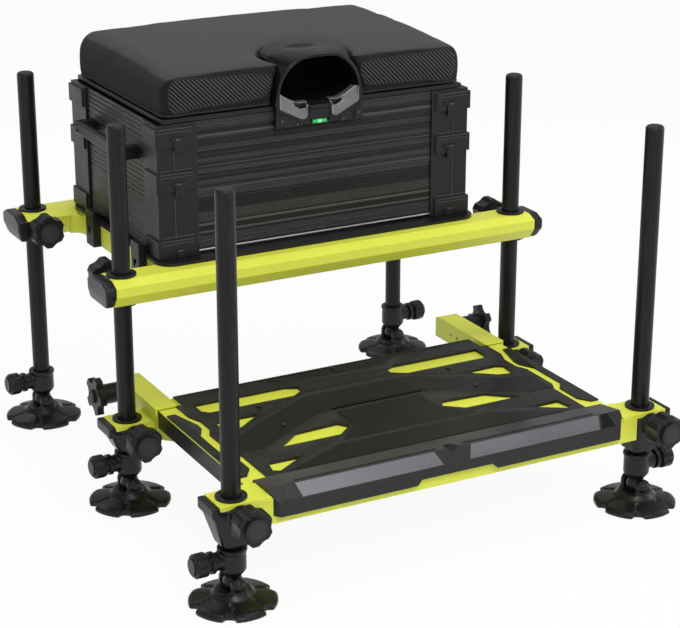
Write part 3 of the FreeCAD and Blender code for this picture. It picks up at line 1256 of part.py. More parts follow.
def make_frame():
    """Upper frame, its castings and the base tray."""
    save("cross_beams", [drilled_beam(MIDDLE_Y, 1), drilled_beam(REAR_Y, -1)])
    save("side_rails", [side_rail(side) for _, side in SIDES])
    castings = []
    for y, way in ((MIDDLE_Y, 1), (REAR_Y, -1)):
        for _, side in SIDES:
            x = side * LEG_X
            lining = bush(x, y, BEAM_TOP, BEAM_BOTTOM)
            lining = lining.cut(rod(KNOB_STEM_DIA + 2 * STEM_HOLE_GAP, V(x, y, BEAM_KNOB_Z),
                                    V(x, y + way * BEAM_HALF, BEAM_KNOB_Z)))
            castings += [frame_clamp(x, y, side, way), lining]
    save("frame_clamps", castings)
    save("base_tray", [base_tray()])


def make_box():
    """Box units, their corners, latches and handles."""
    save("base_unit", [base_unit()])
    save("drawer_unit", [drawer_unit()])
    save("tray_unit", [tray_unit()])
    lower, upper = drawer_levels()
    save("drawer_lower", [drawer(*lower)])
    save("drawer_upper", [drawer(*upper)])
    posts = []
    latches = []
    for low, high in ((TRAY_TOP, BASE_TOP), (BASE_TOP, DRAWERS_TOP), (DRAWERS_TOP, STACK_TOP)):
        for rear in (False, True):
            posts += both_sides(corner_post(low, high, rear))
            under = low - LATCH_BELOW if low > TRAY_TOP else low + SEAT_GAP
            latches += both_sides(unit_latch(low, under, rear))
    for place in (CLIP_FRONT_PLACE, CLIP_REAR_PLACE):
        latches += both_sides(tray_clip(MIDDLE_Y + place))
    save("unit_corners", posts)
    save("box_latches", latches)
    save("side_handles", both_sides(side_handle()))


def make_lid():
    """Lid, cushion, bezel, catch and level."""
    save("lid_hinges", [hinge_fixed(x) for x in (-HINGE_PLACE, HINGE_PLACE)])
    save("seat_lid", [seat_lid()])
    save("seat_cushion", [seat_cushion()])
    save("catch_bezel", [catch_bezel()])
    save("lid_catch", [lid_catch()])
    save("spirit_level", [spirit_level()])


def make_carrier():
    """Sleeves, their covers and the clamps on the middle legs."""
    save("sleeves", [shape for _, side in SIDES for shape in (sleeve(side), sleeve_cover(side))])
    plate_low = MIDDLE_PLATE_TOP - PLATE_THICK
    save("sleeve_clamps", [shape for _, side in SIDES for shape in (
        lower_clamp(side, MIDDLE_Y, MIDDLE_PLATE_TOP, MIDDLE_CLAMP_BOTTOM, BRACKET_INSIDE_LEG),
        bush(side * LEG_X, MIDDLE_Y, MIDDLE_PLATE_TOP, plate_low))])


def make_footplate():
    """Deck, front bar, rails and front clamps."""
    save("deck_frame", [deck_frame()])
    save("deck_cover", deck_cover())
    save("front_bar", [front_bar()])
    save("footplate_rails", [footplate_rail(side) for _, side in SIDES])
    save("footplate_corners", [footplate_corner(side) for _, side in SIDES])
    plate_low = FRONT_PLATE_TOP - PLATE_THICK
    save("footplate_clamps", [shape for _, side in SIDES for shape in (
        lower_clamp(side, FRONT_Y, FRONT_PLATE_TOP, FRONT_CLAMP_BOTTOM, CORNER_INSIDE_LEG),
        bush(side * LEG_X, FRONT_Y, FRONT_PLATE_TOP, plate_low))])


def make_legs():
    """Legs, feet and every hand screw."""
    for row, y in ROWS:
        for name, side in SIDES:
            x = side * LEG_X
            save(f"leg_{row}_{name}", leg(x, y))
            save(f"foot_socket_{row}_{name}", [foot_socket(x, y, side)])
            save(f"foot_knob_{row}_{name}", [foot_knob(x, y, side)])
            save(f"foot_disc_{row}_{name}", foot_disc(x, y))
    for name, side in SIDES:
        x = side * LEG_X
        save(f"knob_frame_middle_{name}", [clamp_knob(x, MIDDLE_Y, BEAM_KNOB_Z, 1)])
        save(f"knob_frame_rear_{name}", [clamp_knob(x, REAR_Y, BEAM_KNOB_Z, -1)])
        save(f"knob_sleeve_{name}", [clamp_knob(x, MIDDLE_Y, MIDDLE_KNOB_Z, -1)])
        save(f"knob_footplate_{name}", [clamp_knob(x, FRONT_Y, FRONT_KNOB_Z, -1)])
        save(f"star_knob_{name}", [star_knob(side)])


os.makedirs("parts", exist_ok=True)
make_frame()
make_box()
make_lid()
make_carrier()
make_footplate()
make_legs()
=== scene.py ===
# %% [markdown]
# # A fishing seat box
# This lesson dresses a seat box whose rigid parts already exist as a fixed frame. The frame gives
# every part its true size and place, in metres. We add finishes to those parts, then model what a
# maker would sew, mould or screw on: the padded seat, the hand opening, the deck mat, the screws.

import math

import bmesh
import bpy
from mathutils import Matrix, Vector


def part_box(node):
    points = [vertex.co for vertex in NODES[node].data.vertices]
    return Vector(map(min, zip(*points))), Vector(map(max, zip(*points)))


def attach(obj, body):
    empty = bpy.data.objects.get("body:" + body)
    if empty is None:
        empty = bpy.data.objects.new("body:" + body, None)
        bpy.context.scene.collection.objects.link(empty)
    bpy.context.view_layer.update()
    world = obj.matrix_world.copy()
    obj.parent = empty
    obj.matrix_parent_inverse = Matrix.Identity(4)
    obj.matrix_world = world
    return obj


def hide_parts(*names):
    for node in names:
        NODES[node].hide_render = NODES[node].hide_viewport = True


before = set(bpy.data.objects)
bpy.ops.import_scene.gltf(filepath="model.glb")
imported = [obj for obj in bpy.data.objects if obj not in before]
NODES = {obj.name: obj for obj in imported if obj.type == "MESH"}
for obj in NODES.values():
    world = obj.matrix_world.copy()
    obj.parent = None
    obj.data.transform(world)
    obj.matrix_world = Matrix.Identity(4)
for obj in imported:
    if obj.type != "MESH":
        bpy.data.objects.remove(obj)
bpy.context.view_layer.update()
MM = 0.001

# %% [markdown]
# ## Places
# Nothing is measured twice. The frame's boxes say where the seat, the bezel, the deck and the legs
# are, and later cells work out their places from these values.

# %% Read the places of the main pieces
seat_low, seat_high = map(Vector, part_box("seat_cushion"))
bezel_low, bezel_high = map(Vector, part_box("catch_bezel"))
base_low, base_high = map(Vector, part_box("base_unit"))
posts_low, posts_high = map(Vector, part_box("unit_corners"))
bar_low, bar_high = map(Vector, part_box("front_bar"))
deck_low, deck_high = map(Vector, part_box("deck_cover"))
SIDES = {"left": -1, "right": 1}
ROWS = ("front", "middle", "rear")
LEG_PLACES = {}
for row in ROWS:
    for side in SIDES:
        leg_low, leg_high = map(Vector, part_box(f"leg_{row}_{side}"))
        LEG_PLACES[row, side] = (leg_low + leg_high) / 2
LEG_TOP = leg_high.z
print("seat:", [round(v, 4) for v in (*seat_low, *seat_high)])
print("bezel:", [round(v, 4) for v in (*bezel_low, *bezel_high)])
print("deck:", [round(v, 4) for v in (*deck_low, *deck_high)])
print("bar:", [round(v, 4) for v in (*bar_low, *bar_high)])
print("front leg:", [round(v, 4) for v in LEG_PLACES["front", "left"]])

# %% [markdown]
# ## Helpers for modelling
# Blender's operators act on whatever is selected. These helpers select one piece, open it in edit
# mode and pick faces or edges by their place, so that each later step reads like work by hand.

# %% Select, edit and pick
def focus(*pieces):
    """Selects these objects alone and makes the last one active."""
    bpy.ops.object.select_all(action="DESELECT")
    for piece in pieces:
        piece.select_set(True)
    bpy.context.view_layer.objects.active = pieces[-1]


def edit(piece, kind="FACE", whole=False):
    """Opens a piece in edit mode with nothing selected, or all of it."""
    focus(piece)
    bpy.ops.object.mode_set(mode="EDIT")
    bpy.ops.mesh.select_mode(type=kind)
    bpy.ops.mesh.select_all(action="SELECT" if whole else "DESELECT")


def close():
    """Leaves edit mode."""
    bpy.ops.object.mode_set(mode="OBJECT")


def pick(piece, kind, test):
    """Selects the faces, edges or corners that pass a test, in edit mode."""
    mesh = bmesh.from_edit_mesh(piece.data)
    chosen = [item for item in getattr(mesh, kind) if test(item)]
    for item in chosen:
        item.select_set(True)
    mesh.select_flush_mode()
    bmesh.update_edit_mesh(piece.data)
    return len(chosen)


# %% Start a piece from a primitive or from a frame part
def primitive(kind, name, **settings):
    """Adds a mesh primitive under a name, with its place and size in its mesh."""
    bpy.ops.object.select_all(action="DESELECT")
    getattr(bpy.ops.mesh, f"primitive_{kind}_add")(**settings)
    bpy.ops.object.transform_apply(location=True, rotation=True, scale=True)
    piece = bpy.context.object
    piece.name = name
    return piece


def duplicate(piece, name, place=Matrix()):
    """A copy with its own mesh, moved, turned or mirrored by a matrix."""
    twin = bpy.data.objects.new(name, piece.data.copy())
    bpy.context.collection.objects.link(twin)
    twin.data.transform(place)
    if place.determinant() < 0:
        twin.data.flip_normals()
    return twin


def copy_of(node, name):
    """A merged copy of a frame part, as a piece of its own."""
    piece = duplicate(NODES[node], name)
    edit(piece, whole=True)
    bpy.ops.mesh.remove_doubles(threshold=0.01 * MM)
    close()
    return piece


# %% Finish a piece
def use_modifier(piece, kind, **settings):
    """Adds a modifier and applies it."""
    modifier = piece.modifiers.new(kind.lower(), kind)
    for key, value in settings.items():
        setattr(modifier, key, value)
    focus(piece)
    bpy.ops.object.modifier_apply(modifier=modifier.name)


def join(name, pieces):
    """Makes one piece of several."""
    focus(*pieces)
    if len(pieces) > 1:
        bpy.ops.object.join()
    pieces[-1].name = name
    return pieces[-1]


def cut_away(piece, cutter):
    """Takes the cutter's volume out of a piece."""
    use_modifier(piece, "BOOLEAN", operation="DIFFERENCE", solver="EXACT", object=cutter)
    bpy.data.objects.remove(cutter)


def give(obj, material):
    """Replaces an object's materials by one."""
    obj.data.materials.clear()
    obj.data.materials.append(material)


def settle(piece, material, body, smooth=35):
    """Applies a piece's place, shades it, gives it its finish and makes it ride on a body."""
    focus(piece)
    bpy.ops.object.transform_apply(location=True, rotation=True, scale=True)
    bpy.ops.object.shade_smooth_by_angle(angle=math.radians(smooth))
    give(piece, material)
    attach(piece, body)
    return piece


# %% [markdown]
# ## Two shapes that come back often
# Raised panels, inserts and strips are flat plates with a softened upper edge. Welts, beads and
# grooves are round bars along a line. Both take their corners in millimetres.

# %% A plate from its outline, and a round bar along points
def plate(name, outline, z, thick, edge):
    """A flat plate with a bevelled upper edge, standing on a height, from its corners."""
    piece = primitive("circle", name, vertices=len(outline), fill_type="NGON", radius=MM)
    for corner, (x, y) in zip(piece.data.vertices, outline):
        corner.co = (x * MM, y * MM, z * MM)
    edit(piece, whole=True)
    bpy.ops.mesh.extrude_region_move(TRANSFORM_OT_translate={"value": (0, 0, thick * MM)})
    bpy.ops.mesh.bevel(offset=edge * MM, segments=2, affect="EDGES")
    bpy.ops.mesh.select_all(action="SELECT")
    bpy.ops.mesh.normals_make_consistent(inside=False)
    close()
    return piece


def bar_along(name, points, radius):
    """A round bar through points in millimetres, as a mesh."""
    curve = bpy.data.curves.new(name, "CURVE")
    curve.dimensions = "3D"
    curve.bevel_depth = radius * MM
    curve.bevel_resolution = 2
    curve.use_fill_caps = True
    line = curve.splines.new("POLY")
    line.points.add(len(points) - 1)
    for point, place in zip(line.points, points):
        point.co = (*[part * MM for part in place], 1)
    piece = bpy.data.objects.new(name, curve)
    bpy.context.collection.objects.link(piece)
    focus(piece)
    bpy.ops.object.convert(target="MESH")
    return bpy.context.object


def bead(source, name, point, normal, radius):
    """A round bead along the line where a plane cuts a piece."""
    line = duplicate(source, name)
    edit(line, whole=True)
    bpy.ops.mesh.bisect(plane_co=point, plane_no=normal, clear_inner=True, clear_outer=True)
    close()
    focus(line)
    bpy.ops.object.convert(target="CURVE")
    line = bpy.context.object
    line.data.bevel_depth = radius * MM
    line.data.bevel_resolution = 2
    bpy.ops.object.convert(target="MESH")
    return bpy.context.object


# %% [markdown]
# ## Helpers for finishes
# A finish is a small network of shader nodes. Writing each link by hand hides the idea, so one
# helper adds a node and fills its inputs, with numbers or with other nodes' outputs. The others
# give short names to the nodes that come back most.

# %% Add shader nodes
def add(tree, kind, inputs=(), out=0, **settings):
    """Adds a node, fills its inputs by name or number, and returns one of its outputs."""
    made = tree.nodes.new("ShaderNode" + kind)
    for key, value in settings.items():
        setattr(made, key, value)
    for key, value in dict(inputs).items():
        if isinstance(value, bpy.types.NodeSocket):
            tree.links.new(value, made.inputs[key])
        else:
            made.inputs[key].default_value = value
    return made.outputs[out]


def maths(tree, operation, first, second=0.0, clamp=False):
    """One sum on two values."""
    return add(tree, "Math", {0: first, 1: second}, operation=operation, use_clamp=clamp)


def ramp(tree, value, low, high, to_low=0.0, to_high=1.0):
    """A smooth step of a value between two limits."""
    return add(tree, "MapRange", {"Value": value, "From Min": low, "From Max": high,
                                  "To Min": to_low, "To Max": to_high},
               interpolation_type="SMOOTHSTEP")


def blend_colours(tree, share, first, second):
    """A mix of two colours."""
    return add(tree, "Mix", {0: share, 6: first, 7: second}, out=2, data_type="RGBA")


def blend_values(tree, share, first, second):
    """A mix of two values."""
    return add(tree, "Mix", {0: share, 2: first, 3: second}, data_type="FLOAT")


def wave(tree, value, pitch):
    """A sine along a value, with its pitch in metres."""
    return maths(tree, "SINE", maths(tree, "MULTIPLY", value, 2 * math.pi / pitch))


# %% [markdown]
# ## Edges and grain
# Real moulded or painted edges are never perfectly sharp, and they rub bright first. The Bevel node
# rounds the shading of an edge. Comparing the rounded normal with the true one also tells us where
# the edges are, so that wear can gather there.

# %% Rounded shading, edge wear, grain and bump
def edge_normal(tree, radius):
    """The shading normal rounded over edges."""
    return add(tree, "Bevel", {"Radius": radius}, samples=6)


def edge_mask(tree, rounded):
    """Near 1 along edges and 0 on flat faces."""
    true = add(tree, "NewGeometry", out="Normal")
    match = add(tree, "VectorMath", {0: rounded, 1: true}, out="Value", operation="DOT_PRODUCT")
    return ramp(tree, match, 0.995, 0.85)


def noise(tree, place, scale, detail=3.0):
    """Cloudy noise between 0 and 1."""
    return add(tree, "TexNoise", {"Vector": place, "Scale": scale, "Detail": detail,
                                  "Roughness": 0.55})


def bump(tree, height, distance, strength, normal=None):
    """The normal of a surface raised by a height, in metres, on top of another normal."""
    inputs = {"Height": height, "Distance": distance, "Strength": strength}
    if normal is not None:
        inputs["Normal"] = normal
    return add(tree, "Bump", inputs)


def grey(level, blue=None):
    """A grey colour, with a blue part of its own if given."""
    return (level, level, level if blue is None else blue, 1)


def shaded(colour, factor):
    """A colour made lighter or darker, with full alpha."""
    return tuple(min(1.0, part * factor) for part in colour[:3]) + (1.0,)


def start_material(name):
    """A material with an empty Principled shader, with its tree and its object coordinates."""
    material = bpy.data.materials.new(name)
    material.use_nodes = True
    tree = material.node_tree
    shader = tree.nodes["Principled BSDF"]
    place = add(tree, "TexCoord", out="Object")
    return material, tree, shader, place


def parts_of(tree, place):
    """The three coordinates of a place."""
    split = tree.nodes.new("ShaderNodeSeparateXYZ")
    tree.links.new(place, split.inputs[0])
    return split.outputs["X"], split.outputs["Y"], split.outputs["Z"]


LEVELS = {"metallic": "Metallic", "specular": "Specular IOR Level", "coat": "Coat Weight",
          "coat_rough": "Coat Roughness", "sheen": "Sheen Weight",
          "sheen_rough": "Sheen Roughness"}


def wire(tree, shader, colour, roughness, normal=None, **levels):
    """Links colour, roughness and normal to the shader and sets its plain levels."""
    for name, source in (("Base Color", colour), ("Roughness", roughness), ("Normal", normal)):
        if source is not None:
            tree.links.new(source, shader.inputs[name])
    for name, level in levels.items():
        shader.inputs[LEVELS[name]].default_value = level


# %% [markdown]
# ## One recipe for hard finishes
# Paint, anodised metal and moulded plastic differ in colour, gloss and grain, but they are built
# the same way: clouds in the colour, clouds in the roughness, a fine grain as bump and a little
# wear on the edges. One function with a few named dials makes them all.

# %% The hard finish
def hard_finish(name, colour, roughness, grain=900.0, depth=0.00003, edge=0.0006, wear=1.6,
                cloud=0.12, metallic=0.0, coat=0.0, specular=0.3, streak=(1.0, 1.0, 1.0)):
    """Paint, anodised metal or moulded plastic."""
    material, tree, shader, place = start_material(name)
    stretched = add(tree, "Mapping", {"Vector": place, "Scale": streak})
    clouds = noise(tree, stretched, 14.0)
    specks = noise(tree, stretched, grain, 2.0)
    rounded = edge_normal(tree, edge)
    edges = maths(tree, "MULTIPLY", edge_mask(tree, rounded), noise(tree, place, 90.0))
    base = blend_colours(tree, clouds, shaded(colour, 1 - cloud), shaded(colour, 1 + cloud))
    wear_and_end_shade = blend_colours(tree, edges, base, shaded(colour, wear))
    gloss = maths(tree, "ADD", ramp(tree, clouds, 0.3, 0.7, -0.05, 0.05), roughness)
    gloss = maths(tree, "ADD", gloss, ramp(tree, specks, 0.3, 0.7, -0.03, 0.03), clamp=True)
    wire(tree, shader, wear_and_end_shade, gloss, bump(tree, specks, depth, 0.6, rounded),
         metallic=metallic, specular=specular, coat=coat, coat_rough=0.12)
    return material


LIME = (0.76, 0.80, 0.075)
lime_paint = hard_finish("lime_powder_coat", LIME, 0.42, grain=1400, depth=0.00004, wear=1.12,
                         cloud=0.03, coat=0.08, specular=0.4)
black_metal = hard_finish("black_anodised_metal", (0.016, 0.016, 0.017), 0.34, grain=1800,
                          depth=0.00001, wear=3.0, metallic=0.2, streak=(1.0, 1.0, 0.08))
# On the black moulded and corner plastics the edge wear is partly real wear and partly painted
# highlight along the edges.
black_plastic = hard_finish("black_moulded_plastic", (0.009, 0.009, 0.0095), 0.40, grain=1500,
                            depth=0.00005, wear=5.0)
post_black = hard_finish("black_corner_plastic", (0.010, 0.010, 0.0105), 0.42, grain=1200,
                         depth=0.00005, edge=0.0012, wear=9.0, cloud=0.25)
bar_black = hard_finish("black_bar_plastic", (0.021, 0.021, 0.022), 0.36, grain=1500,
                        depth=0.00005, wear=3.0)
gloss_black = hard_finish("gloss_black_plastic", (0.006, 0.006, 0.0065), 0.14, grain=300,
                          depth=0.000006, wear=1.8, coat=0.1, edge=0.001, specular=0.25)
hood_satin = hard_finish("satin_black_hood_top", (0.005, 0.005, 0.0055), 0.34, grain=900,
                         depth=0.00002, wear=1.6, edge=0.001, specular=0.1)
# Painted shade: a near-black matt finish for the hand well and the mat's slot.
painted_shade_black = hard_finish("painted_shade_matt_black", (0.0025, 0.0025, 0.0025), 0.8, specular=0.08)
foot_rubber = hard_finish("black_foot_plastic", (0.010, 0.010, 0.0105), 0.34, grain=700,
                          depth=0.00008, wear=3.4)
cap_grey = hard_finish("matt_grey_cap", (0.030, 0.030, 0.031), 0.55, grain=1200, depth=0.00005,
                       wear=1.8)
grey_insert = hard_finish("satin_grey_insert", (0.17, 0.175, 0.187), 0.30, grain=1500,
                          depth=0.000001, wear=1.3, cloud=0.25, metallic=0.6,
                          streak=(0.3, 1.0, 1.0))
dark_steel = hard_finish("dark_steel", (0.09, 0.09, 0.095), 0.32, grain=2500, depth=0.00001,
                         wear=2.0, metallic=1.0)
# Painted highlight: a bright strip stands for the light line along the base panel's foot.
highlight_trim = hard_finish("painted_highlight_metal_strip", (0.62, 0.62, 0.63), 0.3, grain=2500,
                          depth=0.00001, wear=1.2, metallic=0.6)
# Painted highlight: a lighter grey for the post ribs and ridges.
ridge_highlight_grey = hard_finish("ridge_highlight_plastic", (0.055, 0.055, 0.056), 0.40, grain=1200,
                          depth=0.00005, wear=1.5, cloud=0.3)
# Painted reflection: light grey on the scoops stands for the bright room mirrored in gloss black.
scoop_reflection_grey = hard_finish("painted_reflection_grey_plastic", (0.20, 0.20, 0.21), 0.24, grain=300,
                        depth=0.00001, wear=1.4, cloud=0.25, metallic=0.4, coat=0.3)
print("hard finishes made")

# %% [markdown]
# ## Ribbed box panels
# The box sides are pressed with wide level ribs and fine lines that catch the light. The large
# grooves are real. The lighter faces of the ribs are bands along the height, and so are the bright
# lines, which are painted highlights. A fine wave between them gives the pressed surface its grain
# and paints a highlight on each crest. Faces turned to the box's ends are painted darker, as
# painted shade.

# %% The ribbed panel finish
RIB_PITCH = 3.5 * MM
BASE_RIBS = [(386.5, 400.5), (421, 430.5), (349, 366)]
# Heights of the painted highlight lines, in millimetres.
BASE_HIGHLIGHT_LINES = [(369.8, 372.4), (380.4, 383.6), (431.4, 434.0)]
UNIT_RIBS = [(439, 446), (455, 462), (470.5, 477.5), (487, 494), (504, 511), (517.5, 529)]
UNIT_HIGHLIGHT_LINES = [(464.8, 466.6), (507.4, 509.2)]


def bands(tree, height, places):
    """1 inside any of the level bands given in millimetres, with soft limits."""
    whole = None
    for low, high in places:
        rise = ramp(tree, height, (low - 0.5) * MM, (low + 0.5) * MM)
        fall = ramp(tree, height, (high + 0.5) * MM, (high - 0.5) * MM)
        one = maths(tree, "MULTIPLY", rise, fall)
        whole = one if whole is None else maths(tree, "MAXIMUM", whole, one)
    return whole


def ribbed_finish(name, wide, highlight_bands):
    """Black metal with lighter level ribs and painted highlight lines, with painted shade on the
    box's ends.
    """
    material, tree, shader, place = start_material(name)
    height = parts_of(tree, place)[2]
    ribs = wave(tree, height, RIB_PITCH)
    long = add(tree, "Mapping", {"Vector": place, "Scale": (0.06, 0.06, 1.0)})
    brushed = noise(tree, long, 700.0, 2.0)
    clouds = noise(tree, place, 12.0)
    rounded = edge_normal(tree, 0.0007)
    edges = maths(tree, "MULTIPLY", edge_mask(tree, rounded), noise(tree, long, 160.0))
    base = blend_colours(tree, clouds, grey(0.0055, 0.006), grey(0.010, 0.0105))
    across = parts_of(tree, add(tree, "NewGeometry", out="Normal"))[0]
    # Painted shade: ribs and lines are darker on faces turned to the box's ends.
    wear_and_end_shade = ramp(tree, maths(tree, "ABSOLUTE", across), 0.5, 0.7, 1.0, 0.3)
    lighter_ribs_and_end_shade = maths(tree, "MULTIPLY", bands(tree, height, wide),
                   maths(tree, "MULTIPLY", wear_and_end_shade, ramp(tree, brushed, 0.25, 0.7, 0.55, 1.0)))
    face = blend_colours(tree, lighter_ribs_and_end_shade, base, grey(0.040, 0.041))
    # Painted highlight: the crest of each fine wave is lighter.
    crest_highlight = blend_colours(tree, ramp(tree, ribs, 0.5, 1.0, 0.0, 0.35), face, grey(0.05, 0.052))
    # Painted highlights: the fine lines are bright bands of colour.
    highlight_lines = maths(tree, "MULTIPLY", bands(tree, height, highlight_bands), wear_and_end_shade)
    with_highlight_lines = blend_colours(tree, highlight_lines, crest_highlight, grey(0.085, 0.088))
    colour = blend_colours(tree, edges, with_highlight_lines, grey(0.16, 0.165))
    pressed = bump(tree, ribs, 0.22 * MM, 0.8, rounded)
    wire(tree, shader, colour, ramp(tree, brushed, 0.2, 0.8, 0.30, 0.42),
         bump(tree, brushed, 0.01 * MM, 0.5, pressed), metallic=0.2, specular=0.3)
    return material


base_panel = ribbed_finish("ribbed_base_panel", BASE_RIBS, BASE_HIGHLIGHT_LINES)
unit_panel = ribbed_finish("ribbed_unit_panel", UNIT_RIBS, UNIT_HIGHLIGHT_LINES)
print("ribbed finishes: 2, pitch", RIB_PITCH)

# %% [markdown]
# ## Legs
# A leg is a drawn tube with a moulded end plug. Both are one part in the frame, so one finish tells
# them apart by height: satin tube below, matt plug on top, and faint streaks where clamps slid.

# %% The leg finish
PLUG_FOOT = LEG_TOP - 5 * MM
PLUG_SEAM = 0.2 * MM


def leg_finish():
    """Black tube with faint vertical scuffs and a matt plug at the top."""
    material, tree, shader, place = start_material("leg_tube_black")
    height = parts_of(tree, place)[2]
    plug = ramp(tree, height, PLUG_FOOT - PLUG_SEAM, PLUG_FOOT + PLUG_SEAM)
    tall = add(tree, "Mapping", {"Vector": place, "Scale": (1.0, 1.0, 0.05)})
    scuffs = noise(tree, tall, 420.0, 4.0)
    clouds = noise(tree, place, 10.0)
    tube = blend_colours(tree, ramp(tree, scuffs, 0.45, 0.75), grey(0.006, 0.0065),
                         grey(0.015, 0.016))
    satin = maths(tree, "ADD", ramp(tree, clouds, 0.3, 0.7, 0.30, 0.40),
                  maths(tree, "MULTIPLY", plug, 0.12))
    wire(tree, shader, blend_colours(tree, plug, tube, grey(0.013)), satin,
         bump(tree, scuffs, 0.01 * MM, 0.5), specular=0.25)
    return material


leg_tube = leg_finish()
print("leg finish, plug above", round(PLUG_FOOT, 4))

# %% [markdown]
# ## Seat fabric
# The seat has two cloths. The front panel is a coarse twill whose ridges run down to the right,
# and the top and ends are a fine plain weave, painted darker on the ends as painted shade. A
# threshold on the depth picks the cloth, just behind the front seam, and each weave is made of sine
# waves in millimetres, so it needs no UV map.

# %% The seat fabric
FRONT_PANEL = 4.5 * MM
SEAM_HALF = 0.4 * MM
TWILL_PITCH = 6.2 * MM
WOBBLE = 1.2 * MM
THREAD = 1.5 * MM


def fabric_finish():
    """Twill in front of the seam and plain weave behind it."""
    material, tree, shader, place = start_material("woven_seat_fabric")
    x, y, z = parts_of(tree, place)
    seam = seat_low.y + FRONT_PANEL
    front = ramp(tree, y, seam + SEAM_HALF, seam - SEAM_HALF)
    wobble = maths(tree, "MULTIPLY", noise(tree, place, 60.0), WOBBLE)
    across = maths(tree, "ADD", maths(tree, "ADD", x, z), wobble)
    along = maths(tree, "SUBTRACT", x, z)
    ridge = ramp(tree, wave(tree, across, TWILL_PITCH), -0.35, 0.75)
    stitch = ramp(tree, wave(tree, along, TWILL_PITCH / 2.2), -0.9, 0.7, 0.35, 1.0)
    twill = maths(tree, "MULTIPLY", ridge, stitch)
    normal = parts_of(tree, add(tree, "NewGeometry", out="Normal"))
    ends = ramp(tree, maths(tree, "ABSOLUTE", normal[0]), 0.6, 0.8)
    first = wave(tree, blend_values(tree, ends, x, y), THREAD)
    level = ramp(tree, maths(tree, "ABSOLUTE", normal[2]), 0.6, 0.8)
    second = wave(tree, blend_values(tree, level, z, y), THREAD)
    plain = ramp(tree, maths(tree, "MULTIPLY", first, second), -0.8, 0.8)
    clouds = noise(tree, place, 26.0, 4.0)
    fibres = noise(tree, place, 1600.0, 2.0)
    twill_colour = blend_colours(tree, twill, grey(0.005, 0.0055), grey(0.105, 0.11))
    top_colour = blend_colours(tree, plain, grey(0.033, 0.0355), grey(0.066, 0.070))
    # Painted shade: the ends get a much darker plain weave than the top.
    shaded_end_colour = blend_colours(tree, plain, grey(0.007, 0.0075), grey(0.016, 0.017))
    plain_with_shaded_ends = blend_colours(tree, level, shaded_end_colour, top_colour)
    colour = blend_colours(tree, front, plain_with_shaded_ends, twill_colour)
    light = blend_colours(tree, ramp(tree, clouds, 0.3, 0.7, 0.0, 0.12), colour,
                          grey(0.045, 0.048))
    height = blend_values(tree, front, maths(tree, "MULTIPLY", plain, 0.35), twill)
    woven = bump(tree, height, 0.7 * MM, 0.7)
    wire(tree, shader, light, ramp(tree, fibres, 0.2, 0.8, 0.75, 0.92),
         bump(tree, fibres, 0.1 * MM, 0.5, woven), specular=0.12, sheen=0.06, sheen_rough=0.5)
    return material


seat_fabric = fabric_finish()
print("fabric: twill pitch", TWILL_PITCH, "thread", THREAD)

# %% [markdown]
# ## Deck mat
# The mat is moulded in one piece. Most of it carries a stipple of small dots for grip, and its
# walked-on middle is smooth. The stipple is a pattern of rounded cells used as height, and each dot
# is also painted lighter as a painted highlight, so that it shows in plain light too.

# %% The stippled and the smooth mat finish
STIPPLE = 290.0
mat_smooth = hard_finish("smooth_mat_plastic", (0.009, 0.009, 0.0095), 0.42, grain=600,
                         depth=0.00004, wear=3.5, cloud=0.25, specular=0.2)


def stipple_finish():
    """Black plastic with small raised dots."""
    material, tree, shader, place = start_material("stippled_mat_plastic")
    cells = add(tree, "TexVoronoi", {"Vector": place, "Scale": STIPPLE, "Randomness": 0.35})
    dots = ramp(tree, cells, 0.55, 0.15)
    clouds = noise(tree, place, 20.0)
    base = blend_colours(tree, clouds, grey(0.007), grey(0.012))
    raised = bump(tree, dots, 0.6 * MM, 0.9, edge_normal(tree, 0.5 * MM))
    # Painted highlight: the raised dots are lighter than the plastic round them.
    wire(tree, shader, blend_colours(tree, dots, base, grey(0.020)),
         ramp(tree, clouds, 0.3, 0.7, 0.40, 0.52), raised, specular=0.35)
    return material


mat_stipple = stipple_finish()
print("stipple cells per metre:", STIPPLE)

# %% [markdown]
# ## Spirit level
# The vial is a small tube of green liquid with a paler bubble in its middle. It is a few
# millimetres long, so colour alone tells the liquid from the bubble.

# %% The vial finish
def vial_finish():
    """Clear green liquid with a pale bubble at the middle."""
    material, tree, shader, place = start_material("green_level_vial")
    x = parts_of(tree, place)[0]
    bubble = ramp(tree, maths(tree, "ABSOLUTE", x), 3.2 * MM, 2.4 * MM)
    swirl = noise(tree, place, 500.0)
    liquid = blend_colours(tree, swirl, (0.02, 0.42, 0.10, 1), (0.06, 0.62, 0.20, 1))
    wire(tree, shader, blend_colours(tree, bubble, liquid, (0.35, 0.90, 0.45, 1)),
         ramp(tree, swirl, 0.3, 0.7, 0.08, 0.16))
    return material


vial_green = vial_finish()
print("vial finish made")

# %% [markdown]
# ## Hand out the finishes
# A frame part is never moved or reshaped, but its material slots are ours. A list of name starts
# is enough to give each part its finish.

# %% Give each frame part its finish
FINISHES = [
    (("cross_beams", "side_rails", "deck_frame", "footplate_corners", "sleeves"), lime_paint),
    (("base_unit",), base_panel),
    (("drawer_unit", "tray_unit", "drawer_lower", "drawer_upper"), unit_panel),
    (("lid_hinges", "footplate_rails"), black_metal),
    (("leg_",), leg_tube),
    (("foot_disc",), foot_rubber),
    (("foot_socket", "foot_knob", "knob_", "star_knob"), black_plastic),
    (("frame_clamps", "sleeve_clamps", "footplate_clamps", "base_tray"), black_plastic),
    (("unit_corners", "box_latches"), post_black),
    (("side_handles", "seat_lid", "lid_catch"), black_plastic),
    (("deck_cover",), black_plastic),
    (("front_bar",), bar_black),
    (("catch_bezel",), gloss_black),
    (("spirit_level",), vial_green),
    (("seat_cushion",), seat_fabric),
]

for starts, material in FINISHES:
    for name, obj in NODES.items():
        if name.startswith(starts):
            give(obj, material)
print("finishes given")

